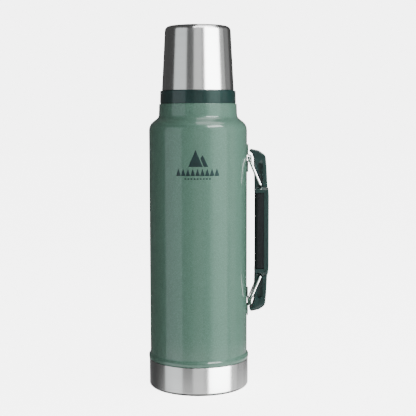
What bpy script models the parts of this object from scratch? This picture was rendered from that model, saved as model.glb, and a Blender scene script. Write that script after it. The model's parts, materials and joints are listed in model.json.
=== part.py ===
"""Vacuum flask with a screw-on cup, a screw stopper and a side handle that pulls out on wire bails.

Lengths are in millimetres and angles in degrees; meshes are turned into metres as they are made.
The origin is the middle of the base's underside, +Z is up and the handle is on the +X side.
"""
import math

import bmesh
import bpy
from mathutils import Matrix

MM = 0.001
GAP = 0.3
SEGMENTS = 32

# Flask body, from the base up
BASE_RADIUS = 51.1
BASE_HEIGHT = 28.8
BASE_WALL = 0.6
BASE_CORNER = 3.0
GROOVE_INNER = 36.0
GROOVE_OUTER = 41.0
GROOVE_DEPTH = 0.8
BODY_RADIUS = 50.0
SHELL_WALL = 0.6
SKIRT_RADIUS = 49.9
SKIRT_BOTTOM = 4.0
BEAD_RADIUS = 51.6
BEAD_MIDDLE = 32.2
BEAD_HALF_HEIGHT = 3.0
SHOULDER_BOTTOM = 263.5
SHOULDER_ROUND = 11.0
SHOULDER_SLOPE = 52.0
SHOULDER_FILLET = 5.7
NECK_RADIUS = 40.0
NECK_TOP_RADIUS = 39.5
NECK_TOP = 290.2
NECK_CHAMFER = 0.7
THROAT_RADIUS = 30.9
THROAT_TOP = 316.9
LIP_TOP = 317.8
LIP_RADIUS = 31.0

# Inner vessel
VESSEL_RADIUS = 45.5
VESSEL_WALL = 0.5
VESSEL_BOTTOM = 17.0
VESSEL_SHOULDER = 254.0
VESSEL_ROUND = 12.0
VESSEL_SLOPE = 55.0
VESSEL_FILLET = 8.0
MOUTH_RADIUS = 27.0
FOIL_RADIUS = 46.4
FOIL_THICKNESS = 0.3
FOIL_BOTTOM = 30.0
FOIL_TOP = 250.0
DISH_UNDERSIDE = [(0, 8.6), (20.0, 9.0), (34.0, 10.4), (41.0, 13.0), (44.3, 16.4)]
DISH_FLANGE_BOTTOM = 20.0
DISH_FLANGE_TOP = 25.0

# Closing plate, its evacuation port and the getter
PLATE_LEVEL = 5.0
PLATE_WALL = 0.6
PLATE_RIM_DROP = 0.8
PORT_RADIUS = 1.6
DIMPLE_RADIUS = 5.6
DIMPLE_DEPTH = 2.0
SEAL_RADIUS = 3.2
SEAL_STEM_RADIUS = 1.2
SEAL_BOTTOM = 1.4
SEAL_TOP = 4.4
GETTER_RADIUS = 5.0
GETTER_BOTTOM = 5.9
GETTER_TOP = 7.8
GETTER_OFFSET = 18.0

# Collar
COLLAR_TOP = 303.3
COLLAR_RADIUS = 38.65
COLLAR_WALL = 1.9
COLLAR_ROOF = 300.8
SLEEVE_RADIUS = 32.75
SLEEVE_TOP = 316.2
SLEEVE_FOOT_RADIUS = 33.2

# Cup
CUP_RIM = 303.6
CUP_RIM_RADIUS = 36.6
CUP_TOP = 368.0
CUP_TOP_RADIUS = 33.4
CUP_CORNER = 5.0
CUP_WALL = 0.6
LINER_BORE = 34.4
LINER_WALL = 0.8
LINER_ROOF = 361.0
LINER_ROUND = 5.0
LINER_SEAT_TOP = 317.6
HEM_RADIUS = 34.9
DISC_RADIUS = 27.6

# Threads: ridge height and widths, then each thread's lead and reference height at angle zero
RIDGE_HEIGHT = 1.3
RIDGE_ROOT = 0.25
CUP_THREAD_WIDTHS = (2.0, 1.1)
CUP_THREAD_STARTS = 2
CUP_LEAD = 9.0
CUP_THREAD_BASE = 306.1
STOPPER_THREAD_WIDTHS = (1.7, 0.9)
STOPPER_LEAD = 4.0
STOPPER_THREAD_BASE = 304.5

# Stopper
PLUG_RADIUS = 25.3
PLUG_BOTTOM = 284.5
PLUG_BORE = 23.2
FLANGE_BOTTOM = 319.6
FLANGE_TOP = 321.2
HEAD_RADIUS = 30.0
HEAD_TOP = 332.0
HEAD_RIB_DEPTH = 0.9
HEAD_SKIRT_BOTTOM = 317.6
HEAD_SKIRT_WALL = 1.2
DISH_RADIUS = 22.0
DISH_DEPTH = 1.4
DISH_WALL = 1.7
CORE_BOTTOM = 286.7
CORE_RADIUS = 21.3
CORE_TOP = 328.5
PLUG_FLOOR = 1.8
GASKET_RADIUS = 29.6
GASKET_BORE = 26.9
CHANNEL_WIDTH = 8.0
CHANNEL_FLOOR = 24.3
CHANNEL_DEPTH = 5.0

# Handle, brackets and bails; heights on the handle are measured from its middle
HANDLE_MIDDLE = 161.0
BRACKET_OFFSET = 74.0
BRACKET_HALF_WIDTH = 6.0
BRACKET_HALF_HEIGHT = 14.2
STRAP_FRONT = 51.3
LOOP_FRONT = 54.55
PIVOT_RADIUS = 51.9
WIRE_RADIUS = 1.35
BAIL_REACH = 30.0
BAIL_REST_ANGLE = 23.0
BAIL_HALF_WIDTH = 11.2
CROSSBAR_HALF = 7.2
PIN_END = 5.4
END_HALF_WIDTH = 9.2
GRIP_HALF_WIDTH = 12.0
GRIP_HALF_LENGTH = 38.6
GRIP_FRONT = 67.6
SLOT_MIDDLE = 62.9
SLOT_HALF_WIDTH = 2.8
SLOT_LOW = 47.0
SLOT_HIGH = 66.8
SLOT_FLOOR = 4.9

# Small chamfer on moulded and pressed edges
EDGE = 0.4

# Finishes: linear colour, roughness, metallic
FINISHES = {
    "body_paint": ((0.162, 0.270, 0.212), 0.32, 0.0),
    "brushed_steel": ((0.55, 0.56, 0.56), 0.28, 1.0),
    "dull_steel": ((0.42, 0.42, 0.42), 0.45, 1.0),
    "green_plastic": ((0.012, 0.044, 0.038), 0.35, 0.0),
    "grip_plastic": ((0.018, 0.022, 0.027), 0.60, 0.0),
    "wire_steel": ((0.70, 0.70, 0.68), 0.20, 1.0),
    "silicone": ((0.55, 0.56, 0.54), 0.55, 0.0),
    "foam": ((0.72, 0.69, 0.58), 0.90, 0.0),
    "foil": ((0.78, 0.42, 0.28), 0.30, 1.0),
    "getter_metal": ((0.30, 0.29, 0.28), 0.55, 1.0),
    "solder_glass": ((0.20, 0.20, 0.22), 0.20, 0.0),
}


def clear_scene():
    """Remove every object the file opened with."""
    for item in list(bpy.data.objects):
        bpy.data.objects.remove(item, do_unlink=True)


def finish(name):
    """The named material, made on its first use."""
    found = bpy.data.materials.get(name)
    if found:
        return found
    color, roughness, metallic = FINISHES[name]
    made = bpy.data.materials.new(name)
    made.use_nodes = True
    shader = made.node_tree.nodes["Principled BSDF"]
    shader.inputs["Base Color"].default_value = (*color, 1.0)
    shader.inputs["Roughness"].default_value = roughness
    shader.inputs["Metallic"].default_value = metallic
    return made


def add_object(name, mesh, finish_name, smooth_below=35.0):
    """Turn a bmesh in millimetres into a named object in metres."""
    bmesh.ops.remove_doubles(mesh, verts=mesh.verts, dist=0.001)
    bmesh.ops.recalc_face_normals(mesh, faces=mesh.faces)
    bmesh.ops.transform(mesh, matrix=Matrix.Scale(MM, 4), verts=mesh.verts)
    data = bpy.data.meshes.new(name)
    mesh.to_mesh(data)
    mesh.free()
    data.shade_smooth()
    data.set_sharp_from_angle(angle=math.radians(smooth_below))
    data.materials.append(finish(finish_name))
    made = bpy.data.objects.new(name, data)
    bpy.context.scene.collection.objects.link(made)
    return made


def combine(target, operation, tool):
    """Apply a tool object to a target with a live Boolean, and hide the tool."""
    tool.hide_render = True
    tool.display_type = "WIRE"
    change = target.modifiers.new(operation.lower(), "BOOLEAN")
    change.operation = operation
    change.solver = "EXACT"
    change.object = tool


def arc(centre, radius, start, end, steps):
    """Points on a circular arc in the (radius, height) plane, both ends included."""
    points = []
    for step in range(steps + 1):
        angle = math.radians(start + (end - start) * step / steps)
        points.append((centre[0] + radius * math.cos(angle), centre[1] + radius * math.sin(angle)))
    return points


def turned(name, outline, finish_name, segments=SEGMENTS):
    """Spin an outline of (radius, height) points about Z into a closed body.

    An outline that starts and ends on the axis stays open there, where the spin closes it.
    """
    mesh = bmesh.new()
    verts = [mesh.verts.new((radius, 0.0, height)) for radius, height in outline]
    edges = [mesh.edges.new(pair) for pair in zip(verts, verts[1:])]
    if outline[0][0] > 0.0:
        edges.append(mesh.edges.new((verts[-1], verts[0])))
    bmesh.ops.spin(mesh, geom=verts + edges, axis=(0, 0, 1), cent=(0, 0, 0),
                   angle=2 * math.pi, steps=segments, use_merge=True)
    return add_object(name, mesh, finish_name)


def skin_rings(mesh, rings):
    """Bridge a list of equal vertex rings and cap both ends."""
    for low, high in zip(rings, rings[1:]):
        for index in range(len(low)):
            after = (index + 1) % len(low)
            mesh.faces.new((low[index], low[after], high[after], high[index]))
    mesh.faces.new(list(reversed(rings[0])))
    mesh.faces.new(rings[-1])


def thread_ridge(name, root, crest, widths, lead, base, first_turn, turns, starts=1):
    """A helical ridge standing on a cylinder of radius root, its ends run out into the wall.

    The middle of the ridge is at height base + lead * turn, where turn counts from angle zero.
    """
    mesh = bmesh.new()
    sunk = root - math.copysign(RIDGE_ROOT, crest - root)
    steps = round(turns * SEGMENTS)
    run_out = 4
    for start in range(starts):
        rings = []
        for step in range(steps + 1):
            turn = first_turn + step / SEGMENTS
            angle = 2 * math.pi * (turn + start / starts)
            rise = min(step, steps - step, run_out) / run_out
            top = sunk + (crest - sunk) * (0.3 * (1 - rise) + rise) if rise else (root + sunk) / 2
            middle = base + lead * turn
            half_root = widths[0] / 2
            half_crest = widths[1] / 2
            section = ((sunk, -half_root), (top, -half_crest), (top, half_crest), (sunk, half_root))
            rings.append([
                mesh.verts.new((radius * math.cos(angle), radius * math.sin(angle), middle + offset))
                for radius, offset in section
            ])
        skin_rings(mesh, rings)
    return add_object(name, mesh, "dull_steel")


def inner_side(outline, wall):
    """An outline moved by a wall's thickness to its left, towards the axis where it runs upwards."""
    moved = []
    for index, (radius, height) in enumerate(outline):
        before = outline[max(index - 1, 0)]
        after = outline[min(index + 1, len(outline) - 1)]
        run = (after[0] - before[0], after[1] - before[1])
        shift = wall / math.hypot(*run)
        moved.append((max(radius - shift * run[1], 0), height + shift * run[0]))
    return moved


def shoulder(outer, inner, bottom, round_radius, slope, fillet, inset=0.0):
    """Outline of a shoulder from a wide wall in to a neck: a round, a slope and a fillet.

    The wide wall has radius outer up to height bottom, and the neck has radius inner.
    Inset gives the same shoulder on the wall's other side.
    """
    turn = math.radians(slope)
    round_middle = (outer - round_radius, bottom)
    fillet_middle_r = inner + fillet
    round_end_r = round_middle[0] + round_radius * math.cos(turn)
    round_end_z = bottom + round_radius * math.sin(turn)
    run = (round_end_r - (fillet_middle_r - fillet * math.cos(turn))) / math.sin(turn)
    fillet_middle_z = round_end_z + run * math.cos(turn) + fillet * math.sin(turn)
    upper = arc(round_middle, round_radius - inset, 0, slope, 4)
    lower = arc((fillet_middle_r, fillet_middle_z), fillet + inset, 180 + slope, 180, 3)
    return upper + lower


def outer_shell():
    """Painted drawn shell: skirt, rolled bead, body, shoulder, neck and narrow throat."""
    proud = BEAD_RADIUS - BODY_RADIUS
    bead_round = (BEAD_HALF_HEIGHT ** 2 + proud ** 2) / (2 * proud)
    bead_turn = math.degrees(math.asin(BEAD_HALF_HEIGHT / bead_round))
    bead = arc((BEAD_RADIUS - bead_round, BEAD_MIDDLE), bead_round, -bead_turn, bead_turn, 4)
    shape = (BODY_RADIUS, NECK_RADIUS, SHOULDER_BOTTOM, SHOULDER_ROUND, SHOULDER_SLOPE, SHOULDER_FILLET)
    ledge = NECK_TOP - SHELL_WALL
    outline = [(SKIRT_RADIUS, SKIRT_BOTTOM), (SKIRT_RADIUS, bead[0][1] - 0.1)]
    outline += bead
    outline += shoulder(*shape)
    outline += [(NECK_TOP_RADIUS, NECK_TOP - NECK_CHAMFER), (NECK_TOP_RADIUS - NECK_CHAMFER, NECK_TOP)]
    outline += [(THROAT_RADIUS, NECK_TOP), (THROAT_RADIUS, THROAT_TOP)]
    outline += [(THROAT_RADIUS - SHELL_WALL, THROAT_TOP), (THROAT_RADIUS - SHELL_WALL, ledge)]
    outline += [(NECK_TOP_RADIUS - 0.9, ledge)]
    outline += reversed(shoulder(*shape, inset=SHELL_WALL))
    skirt_inside = SKIRT_RADIUS - SHELL_WALL
    outline += [(BODY_RADIUS - SHELL_WALL, BEAD_MIDDLE), (skirt_inside, BEAD_MIDDLE - BEAD_HALF_HEIGHT)]
    outline += [(skirt_inside, SKIRT_BOTTOM)]
    turned("outer_shell", outline, "body_paint")


def inner_vessel():
    """Steel inner vessel: tube, shoulder, threaded neck and a lip folded out over the shell."""
    outer = VESSEL_RADIUS + VESSEL_WALL
    neck = MOUTH_RADIUS + VESSEL_WALL
    shape = (outer, neck, VESSEL_SHOULDER, VESSEL_ROUND, VESSEL_SLOPE, VESSEL_FILLET)
    outline = [(outer, VESSEL_BOTTOM)]
    outline += shoulder(*shape)
    lip_bottom = LIP_TOP - VESSEL_WALL
    outline += [(neck, lip_bottom), (LIP_RADIUS, lip_bottom), (LIP_RADIUS, LIP_TOP), (MOUTH_RADIUS, LIP_TOP)]
    outline += reversed(shoulder(*shape, inset=VESSEL_WALL))
    outline += [(VESSEL_RADIUS, VESSEL_BOTTOM)]
    vessel = turned("inner_vessel", outline, "brushed_steel")
    crest = MOUTH_RADIUS - RIDGE_HEIGHT
    thread = thread_ridge("mouth_thread_tool", MOUTH_RADIUS, crest, STOPPER_THREAD_WIDTHS, STOPPER_LEAD,
                          STOPPER_THREAD_BASE + STOPPER_LEAD / 2, -0.5, 2.25)
    combine(vessel, "UNION", thread)


def foil_wrap():
    """Reflective foil wound round the inner vessel, drawn as one thin sleeve."""
    outside = FOIL_RADIUS + FOIL_THICKNESS
    outline = [(outside, FOIL_BOTTOM), (outside, FOIL_TOP)]
    outline += [(FOIL_RADIUS, FOIL_TOP), (FOIL_RADIUS, FOIL_BOTTOM)]
    turned("foil_wrap", outline, "foil")


def inner_bottom():
    """Dished end that closes the inner vessel, with its flange inside the tube."""
    flange = VESSEL_RADIUS - GAP
    under = DISH_UNDERSIDE + [(flange, DISH_FLANGE_BOTTOM), (flange, DISH_FLANGE_TOP)]
    turned("inner_bottom", under + list(reversed(inner_side(under, VESSEL_WALL))), "brushed_steel")


def outer_bottom():
    """Plate that closes the vacuum space, dimpled round the evacuation port."""
    edge = SKIRT_RADIUS - SHELL_WALL - GAP
    dimple = PLATE_LEVEL - DIMPLE_DEPTH
    rim = PLATE_LEVEL - PLATE_RIM_DROP
    under = [(PORT_RADIUS, dimple), (DIMPLE_RADIUS, dimple), (DIMPLE_RADIUS + DIMPLE_DEPTH, PLATE_LEVEL)]
    under += [(edge - 2 * PLATE_RIM_DROP, PLATE_LEVEL), (edge - PLATE_RIM_DROP, rim), (edge, rim)]
    turned("outer_bottom", under + list(reversed(inner_side(under, PLATE_WALL))), "dull_steel")


def vacuum_fittings():
    """Glass bead that seals the port, and the getter pill inside the vacuum space."""
    shelf = PLATE_LEVEL - DIMPLE_DEPTH - EDGE
    seal = [(0, SEAL_BOTTOM), (SEAL_RADIUS - 2 * EDGE, SEAL_BOTTOM), (SEAL_RADIUS, SEAL_BOTTOM + EDGE)]
    seal += [(SEAL_RADIUS, shelf), (SEAL_STEM_RADIUS, shelf), (SEAL_STEM_RADIUS, SEAL_TOP), (0, SEAL_TOP)]
    turned("port_seal", seal, "solder_glass", SEGMENTS // 2)
    side = GETTER_RADIUS - EDGE
    pill = [(0, GETTER_BOTTOM), (side, GETTER_BOTTOM), (GETTER_RADIUS, GETTER_BOTTOM + EDGE)]
    pill += [(GETTER_RADIUS, GETTER_TOP - EDGE), (side, GETTER_TOP), (0, GETTER_TOP)]
    getter = turned("getter", pill, "getter_metal", SEGMENTS // 2)
    getter.location.x = GETTER_OFFSET * MM


def base_cup():
    """Brushed steel foot pressed over the skirt, with a shallow ring pressed into its flat floor."""
    slope = 0.6
    flat = BASE_RADIUS - BASE_CORNER
    outline = [(0, 0), (GROOVE_INNER, 0), (GROOVE_INNER + slope, GROOVE_DEPTH)]
    outline += [(GROOVE_OUTER - slope, GROOVE_DEPTH), (GROOVE_OUTER, 0)]
    outline += arc((flat, BASE_CORNER), BASE_CORNER, -90, 0, 4)
    outline += [(BASE_RADIUS, BASE_HEIGHT), (BASE_RADIUS - BASE_WALL, BASE_HEIGHT)]
    outline += arc((flat, BASE_CORNER), BASE_CORNER - BASE_WALL, 0, -90, 3)
    outline += [(GROOVE_OUTER, BASE_WALL), (GROOVE_OUTER - slope, GROOVE_DEPTH + BASE_WALL)]
    outline += [(GROOVE_INNER + slope, GROOVE_DEPTH + BASE_WALL), (GROOVE_INNER, BASE_WALL), (0, BASE_WALL)]
    turned("base_cup", outline, "brushed_steel")


def neck_collar():
    """Moulded collar: the band below the cup, and the sleeve with the cup's thread."""
    bottom = NECK_TOP + EDGE
    bore = THROAT_RADIUS + EDGE
    band = COLLAR_RADIUS - COLLAR_WALL
    draft = COLLAR_RADIUS - GAP
    outline = [(bore, SLEEVE_TOP), (bore, bottom), (SLEEVE_FOOT_RADIUS, bottom)]
    outline += [(SLEEVE_FOOT_RADIUS, COLLAR_ROOF), (band, COLLAR_ROOF), (band, bottom)]
    outline += [(COLLAR_RADIUS - EDGE, bottom), (COLLAR_RADIUS, bottom + EDGE)]
    outline += [(draft, COLLAR_TOP - EDGE), (draft - EDGE, COLLAR_TOP), (SLEEVE_RADIUS, COLLAR_TOP)]
    outline += [(SLEEVE_RADIUS, SLEEVE_TOP - EDGE), (SLEEVE_RADIUS - EDGE, SLEEVE_TOP)]
    collar = turned("neck_collar", outline, "green_plastic")
    crest = SLEEVE_RADIUS + RIDGE_HEIGHT
    thread = thread_ridge("collar_thread_tool", SLEEVE_RADIUS, crest, CUP_THREAD_WIDTHS, CUP_LEAD,
                          CUP_THREAD_BASE, 0.0, 0.95, CUP_THREAD_STARTS)
    combine(collar, "UNION", thread)


def cup_wall_radius(height):
    """Outer radius of the tapered cup at a height."""
    taper = (CUP_RIM_RADIUS - CUP_TOP_RADIUS) / (CUP_TOP - CUP_CORNER - CUP_RIM)
    return CUP_RIM_RADIUS - taper * (height - CUP_RIM)


def cup_shell():
    """Brushed steel outside of the cup, its rim turned in under the liner."""
    corner = (CUP_TOP_RADIUS - CUP_CORNER, CUP_TOP - CUP_CORNER)
    hem = CUP_RIM + CUP_WALL
    outline = [(HEM_RADIUS, CUP_RIM), (CUP_RIM_RADIUS - EDGE, CUP_RIM), (CUP_RIM_RADIUS, CUP_RIM + EDGE)]
    outline += arc(corner, CUP_CORNER, 0, 90, 4)
    outline += [(0, CUP_TOP), (0, CUP_TOP - CUP_WALL)]
    outline += arc(corner, CUP_CORNER - CUP_WALL, 90, 0, 4)
    outline += [(cup_wall_radius(hem) - CUP_WALL, hem), (HEM_RADIUS, hem)]
    outline = outline[outline.index((0, CUP_TOP - CUP_WALL)):] + outline[:outline.index((0, CUP_TOP)) + 1]
    turned("cup_shell", outline, "brushed_steel")


def cup_liner():
    """Moulded inside of the cup, with the thread that grips the collar."""
    gap = CUP_WALL + GAP
    bottom = CUP_RIM + CUP_WALL + GAP
    bend = LINER_ROOF - LINER_ROUND - LINER_WALL
    seat_end = LINER_SEAT_TOP + LINER_WALL
    outside = cup_wall_radius(bend) - gap
    corner = (outside - LINER_WALL - LINER_ROUND, LINER_ROOF - LINER_ROUND)
    outline = [(0, LINER_ROOF)]
    outline += arc(corner, LINER_ROUND, 90, 0, 3)
    outline += [(cup_wall_radius(seat_end) - gap - LINER_WALL, seat_end), (LINER_BORE, LINER_SEAT_TOP)]
    outline += [(LINER_BORE, bottom), (cup_wall_radius(bottom) - gap, bottom)]
    outline += arc(corner, LINER_ROUND + LINER_WALL, 0, 90, 3)
    outline += [(0, LINER_ROOF + LINER_WALL)]
    liner = turned("cup_liner", outline, "green_plastic")
    base = CUP_THREAD_BASE + CUP_LEAD / (2 * CUP_THREAD_STARTS)
    thread = thread_ridge("liner_thread_tool", LINER_BORE, LINER_BORE - RIDGE_HEIGHT, CUP_THREAD_WIDTHS,
                          CUP_LEAD, base, -0.25, 1.0, CUP_THREAD_STARTS)
    combine(liner, "UNION", thread)


def cup_foam():
    """Foam disc between the cup's roof and its liner, which also stands for the cup's lift."""
    low = LINER_ROOF + LINER_WALL + EDGE
    high = CUP_TOP - CUP_WALL - EDGE
    bevel = 2 * EDGE
    outline = [(0, low), (DISC_RADIUS, low), (DISC_RADIUS, high - bevel)]
    outline += [(DISC_RADIUS - bevel, high), (0, high)]
    turned("cup_foam", outline, "foam")


def stopper_body():
    """Hollow threaded plug with a flange, and a pour channel down the side away from the handle."""
    floor = PLUG_BOTTOM + PLUG_FLOOR
    lead_in = 4 * EDGE
    outline = [(0, PLUG_BOTTOM), (PLUG_RADIUS - lead_in, PLUG_BOTTOM), (PLUG_RADIUS, PLUG_BOTTOM + lead_in)]
    outline += [(PLUG_RADIUS, FLANGE_BOTTOM), (HEAD_RADIUS - EDGE, FLANGE_BOTTOM)]
    outline += [(HEAD_RADIUS, FLANGE_BOTTOM + EDGE), (HEAD_RADIUS, FLANGE_TOP)]
    outline += [(PLUG_BORE, FLANGE_TOP), (PLUG_BORE, floor), (0, floor)]
    plug = turned("stopper_body", outline, "green_plastic")
    thread = thread_ridge("plug_thread_tool", PLUG_RADIUS, PLUG_RADIUS + RIDGE_HEIGHT, STOPPER_THREAD_WIDTHS,
                          STOPPER_LEAD, STOPPER_THREAD_BASE, 0.0, 2.25)
    combine(plug, "UNION", thread)
    mesh = bmesh.new()
    bmesh.ops.create_cube(mesh, size=1.0)
    low = PLUG_BOTTOM - 1.0
    high = FLANGE_BOTTOM - 3 * EDGE
    bmesh.ops.scale(mesh, vec=(CHANNEL_DEPTH, CHANNEL_WIDTH, high - low), verts=mesh.verts)
    bmesh.ops.translate(mesh, vec=(-CHANNEL_FLOOR - CHANNEL_DEPTH / 2, 0, (low + high) / 2), verts=mesh.verts)
    combine(plug, "DIFFERENCE", add_object("pour_channel_tool", mesh, "green_plastic"))


def stopper_head():
    """Ribbed head pressed into the plug, with a shallow dish in its top."""
    skirt = PLUG_BORE - GAP
    low = FLANGE_TOP + GAP
    bore = skirt - HEAD_SKIRT_WALL
    dish = HEAD_TOP - DISH_DEPTH
    under = dish - DISH_WALL
    bevel = 4 * EDGE
    outline = [(0, under), (bore, under), (bore, HEAD_SKIRT_BOTTOM), (skirt, HEAD_SKIRT_BOTTOM), (skirt, low)]
    outline += [(HEAD_RADIUS, low), (HEAD_RADIUS, HEAD_TOP - bevel), (HEAD_RADIUS - bevel, HEAD_TOP)]
    outline += [(DISH_RADIUS + DISH_DEPTH, HEAD_TOP), (DISH_RADIUS, dish), (0, dish)]
    head = turned("stopper_head", outline, "green_plastic")
    for vertex in head.data.vertices:
        radius = math.hypot(vertex.co.x, vertex.co.y) / MM
        segment = round(math.atan2(vertex.co.y, vertex.co.x) / (2 * math.pi) * SEGMENTS)
        if segment % 2 and radius > HEAD_RADIUS - 0.1:
            shrink = (HEAD_RADIUS - HEAD_RIB_DEPTH) / radius
            vertex.co.x *= shrink
            vertex.co.y *= shrink


def stopper_filling():
    """Foam core of the stopper and the silicone ring that seals on the lip."""
    core = [(0, CORE_BOTTOM), (CORE_RADIUS - EDGE, CORE_BOTTOM), (CORE_RADIUS, CORE_BOTTOM + EDGE)]
    turned("stopper_foam", core + [(CORE_RADIUS, CORE_TOP), (0, CORE_TOP)], "foam", 24)
    low = LIP_TOP + GAP
    high = FLANGE_BOTTOM - GAP
    ring = [(GASKET_BORE, low + GAP), (GASKET_BORE + GAP, low), (GASKET_RADIUS - GAP, low)]
    ring += [(GASKET_RADIUS, low + GAP), (GASKET_RADIUS, high), (GASKET_BORE, high)]
    turned("stopper_gasket", ring, "silicone")


def bracket(name, middle):
    """Steel strap on the shell with a raised loop that holds a bail's crossbar."""
    back = BODY_RADIUS + GAP
    loop_back = LOOP_FRONT - 1.0
    top = BRACKET_HALF_HEIGHT
    front = [(STRAP_FRONT, -top), (STRAP_FRONT, -3.8), (53.2, -3.1), (LOOP_FRONT, -1.6)]
    inside = [(loop_back, 1.2), (52.8, 2.1), (back, 2.4), (back, top)]
    outline = front + [(x, -z) for x, z in reversed(front)]
    outline += list(reversed(inside)) + [(x, -z) for x, z in inside]
    mesh = bmesh.new()
    rings = []
    for part in range(-2, 3):
        y = BRACKET_HALF_WIDTH * part / 2
        sag = back - math.sqrt(back ** 2 - y ** 2)
        ring = []
        for x, z in outline:
            against_body = abs(z) > 3.5 or x <= back
            ring.append(mesh.verts.new((x - sag if against_body else x, y, middle + z)))
        rings.append(ring)
    skin_rings(mesh, rings)
    add_object(name, mesh, "body_paint")


def rounded_path(corners, radius, steps=3):
    """Replace each inner corner of a flat path by an arc of the given radius."""
    points = [corners[0]]
    for before, corner, after in zip(corners, corners[1:], corners[2:]):
        incoming = math.atan2(corner[1] - before[1], corner[0] - before[0])
        outgoing = math.atan2(after[1] - corner[1], after[0] - corner[0])
        turn = (outgoing - incoming + math.pi) % (2 * math.pi) - math.pi
        cut = radius * math.tan(abs(turn) / 2)
        side = math.copysign(math.pi / 2, turn)
        start = (corner[0] - cut * math.cos(incoming), corner[1] - cut * math.sin(incoming))
        inward = incoming + side
        centre = (start[0] + radius * math.cos(inward), start[1] + radius * math.sin(inward))
        for step in range(steps + 1):
            angle = incoming - side + turn * step / steps
            points.append((centre[0] + radius * math.cos(angle), centre[1] + radius * math.sin(angle)))
    points.append(corners[-1])
    return points


def bail(name, middle, tilt):
    """Wire bail: a crossbar on the pivot, two splayed legs and two ends turned in to the slots."""
    half = [(CROSSBAR_HALF, 0.0), (BAIL_HALF_WIDTH, 7.0)]
    half += [(BAIL_HALF_WIDTH, BAIL_REACH), (PIN_END, BAIL_REACH)]
    corners = [(-y, z) for y, z in reversed(half)] + half
    curve = bpy.data.curves.new(name, "CURVE")
    curve.dimensions = "3D"
    curve.bevel_depth = WIRE_RADIUS * MM
    curve.bevel_resolution = 2
    curve.use_fill_caps = True
    points = rounded_path(corners, 2.2)
    spline = curve.splines.new("POLY")
    spline.points.add(len(points) - 1)
    for point, (y, z) in zip(spline.points, points):
        point.co = (0.0, y * MM, z * MM, 1.0)
    curve.materials.append(finish("wire_steel"))
    wire = bpy.data.objects.new(name, curve)
    wire.location = (PIVOT_RADIUS * MM, 0.0, middle * MM)
    wire.rotation_euler = (0.0, math.radians(tilt), 0.0)
    bpy.context.scene.collection.objects.link(wire)


def lofted(name, stations, finish_name):
    """Closed body through chamfered rectangles, one per (height, back, front, half width, chamfer)."""
    mesh = bmesh.new()
    rings = []
    for height, back, front, half, cut in stations:
        corners = [(back, half - cut), (back, cut - half), (back + cut, -half), (front - cut, -half)]
        corners += [(front, cut - half), (front, half - cut), (front - cut, half), (back + cut, half)]
        rings.append([mesh.verts.new((x, y, HANDLE_MIDDLE + height)) for x, y in corners])
    skin_rings(mesh, rings)
    return add_object(name, mesh, finish_name)


def mirrored(upper):
    """Stations from the bottom up, given those above the middle from the top down."""
    lower = [(-station[0], *station[1:]) for station in upper]
    return lower + list(reversed(upper))


def slot_cutters():
    """Blind slots in both sides of both handle ends, where the bail ends slide."""
    mesh = bmesh.new()
    reach = END_HALF_WIDTH + 3.0
    for end in (-1, 1):
        outline = arc((SLOT_MIDDLE, end * SLOT_LOW), SLOT_HALF_WIDTH, -180 * end, 0, 4)
        outline += arc((SLOT_MIDDLE, end * SLOT_HIGH), SLOT_HALF_WIDTH, 0, 180 * end, 4)
        for side in (-1, 1):
            rings = []
            for depth in (SLOT_FLOOR, reach):
                rings.append([mesh.verts.new((x, side * depth, HANDLE_MIDDLE + z)) for x, z in outline])
            skin_rings(mesh, rings)
    return add_object("handle_slot_tool", mesh, "green_plastic")


def handle():
    """Moulded spine with hooked ends and slots, and the soft grip set into its middle."""
    seat = GRIP_HALF_LENGTH + GAP
    back = GRIP_FRONT + GAP
    upper = [
        (83.4, 53.4, 56.0, 7.0, 0.8),
        (81.9, 52.0, 60.6, 8.2, 1.5),
        (80.7, 51.7, 63.6, 8.8, 2.0),
        (79.2, 53.4, 65.7, END_HALF_WIDTH, 2.2),
        (77.6, 56.0, 67.0, END_HALF_WIDTH, 2.2),
        (75.0, 56.9, 68.4, END_HALF_WIDTH, 2.2),
        (71.0, 57.2, 69.2, END_HALF_WIDTH, 2.2),
        (57.0, 57.6, 70.1, END_HALF_WIDTH, 2.2),
        (44.2, 57.9, 70.8, END_HALF_WIDTH, 2.2),
        (42.0, 58.0, 71.8, GRIP_HALF_WIDTH, 1.6),
        (seat + GAP, 58.0, 71.9, GRIP_HALF_WIDTH, 1.4),
        (seat, back, 71.9, GRIP_HALF_WIDTH, 1.4),
        (20.0, back, 72.4, GRIP_HALF_WIDTH, 1.4),
    ]
    spine = lofted("handle_spine", mirrored(upper), "green_plastic")
    combine(spine, "DIFFERENCE", slot_cutters())
    grip = [(GRIP_HALF_LENGTH, 58.1, GRIP_FRONT, 11.6, 3.0), (30.0, 58.3, GRIP_FRONT, GRIP_HALF_WIDTH, 3.2)]
    lofted("handle_grip", mirrored(grip), "grip_plastic")


def build():
    """Make every piece of the flask."""
    clear_scene()
    outer_shell()
    inner_vessel()
    foil_wrap()
    inner_bottom()
    outer_bottom()
    vacuum_fittings()
    base_cup()
    neck_collar()
    cup_shell()
    cup_liner()
    cup_foam()
    stopper_body()
    stopper_head()
    stopper_filling()
    handle()
    for prefix, side, tilt in (("upper", 1, 180 - BAIL_REST_ANGLE), ("lower", -1, BAIL_REST_ANGLE)):
        middle = HANDLE_MIDDLE + side * BRACKET_OFFSET
        bracket(prefix + "_bracket", middle)
        bail(prefix + "_bail", middle, tilt)


build()
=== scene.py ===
"""Looks of a vacuum flask: hammertone shell, brushed steel cup and foot, moulded collar and pull-out handle.

Outlines are in millimetres, as (radius or x, height, corner rounding). They become metres as they are
modelled.
"""
import json
import math

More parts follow.
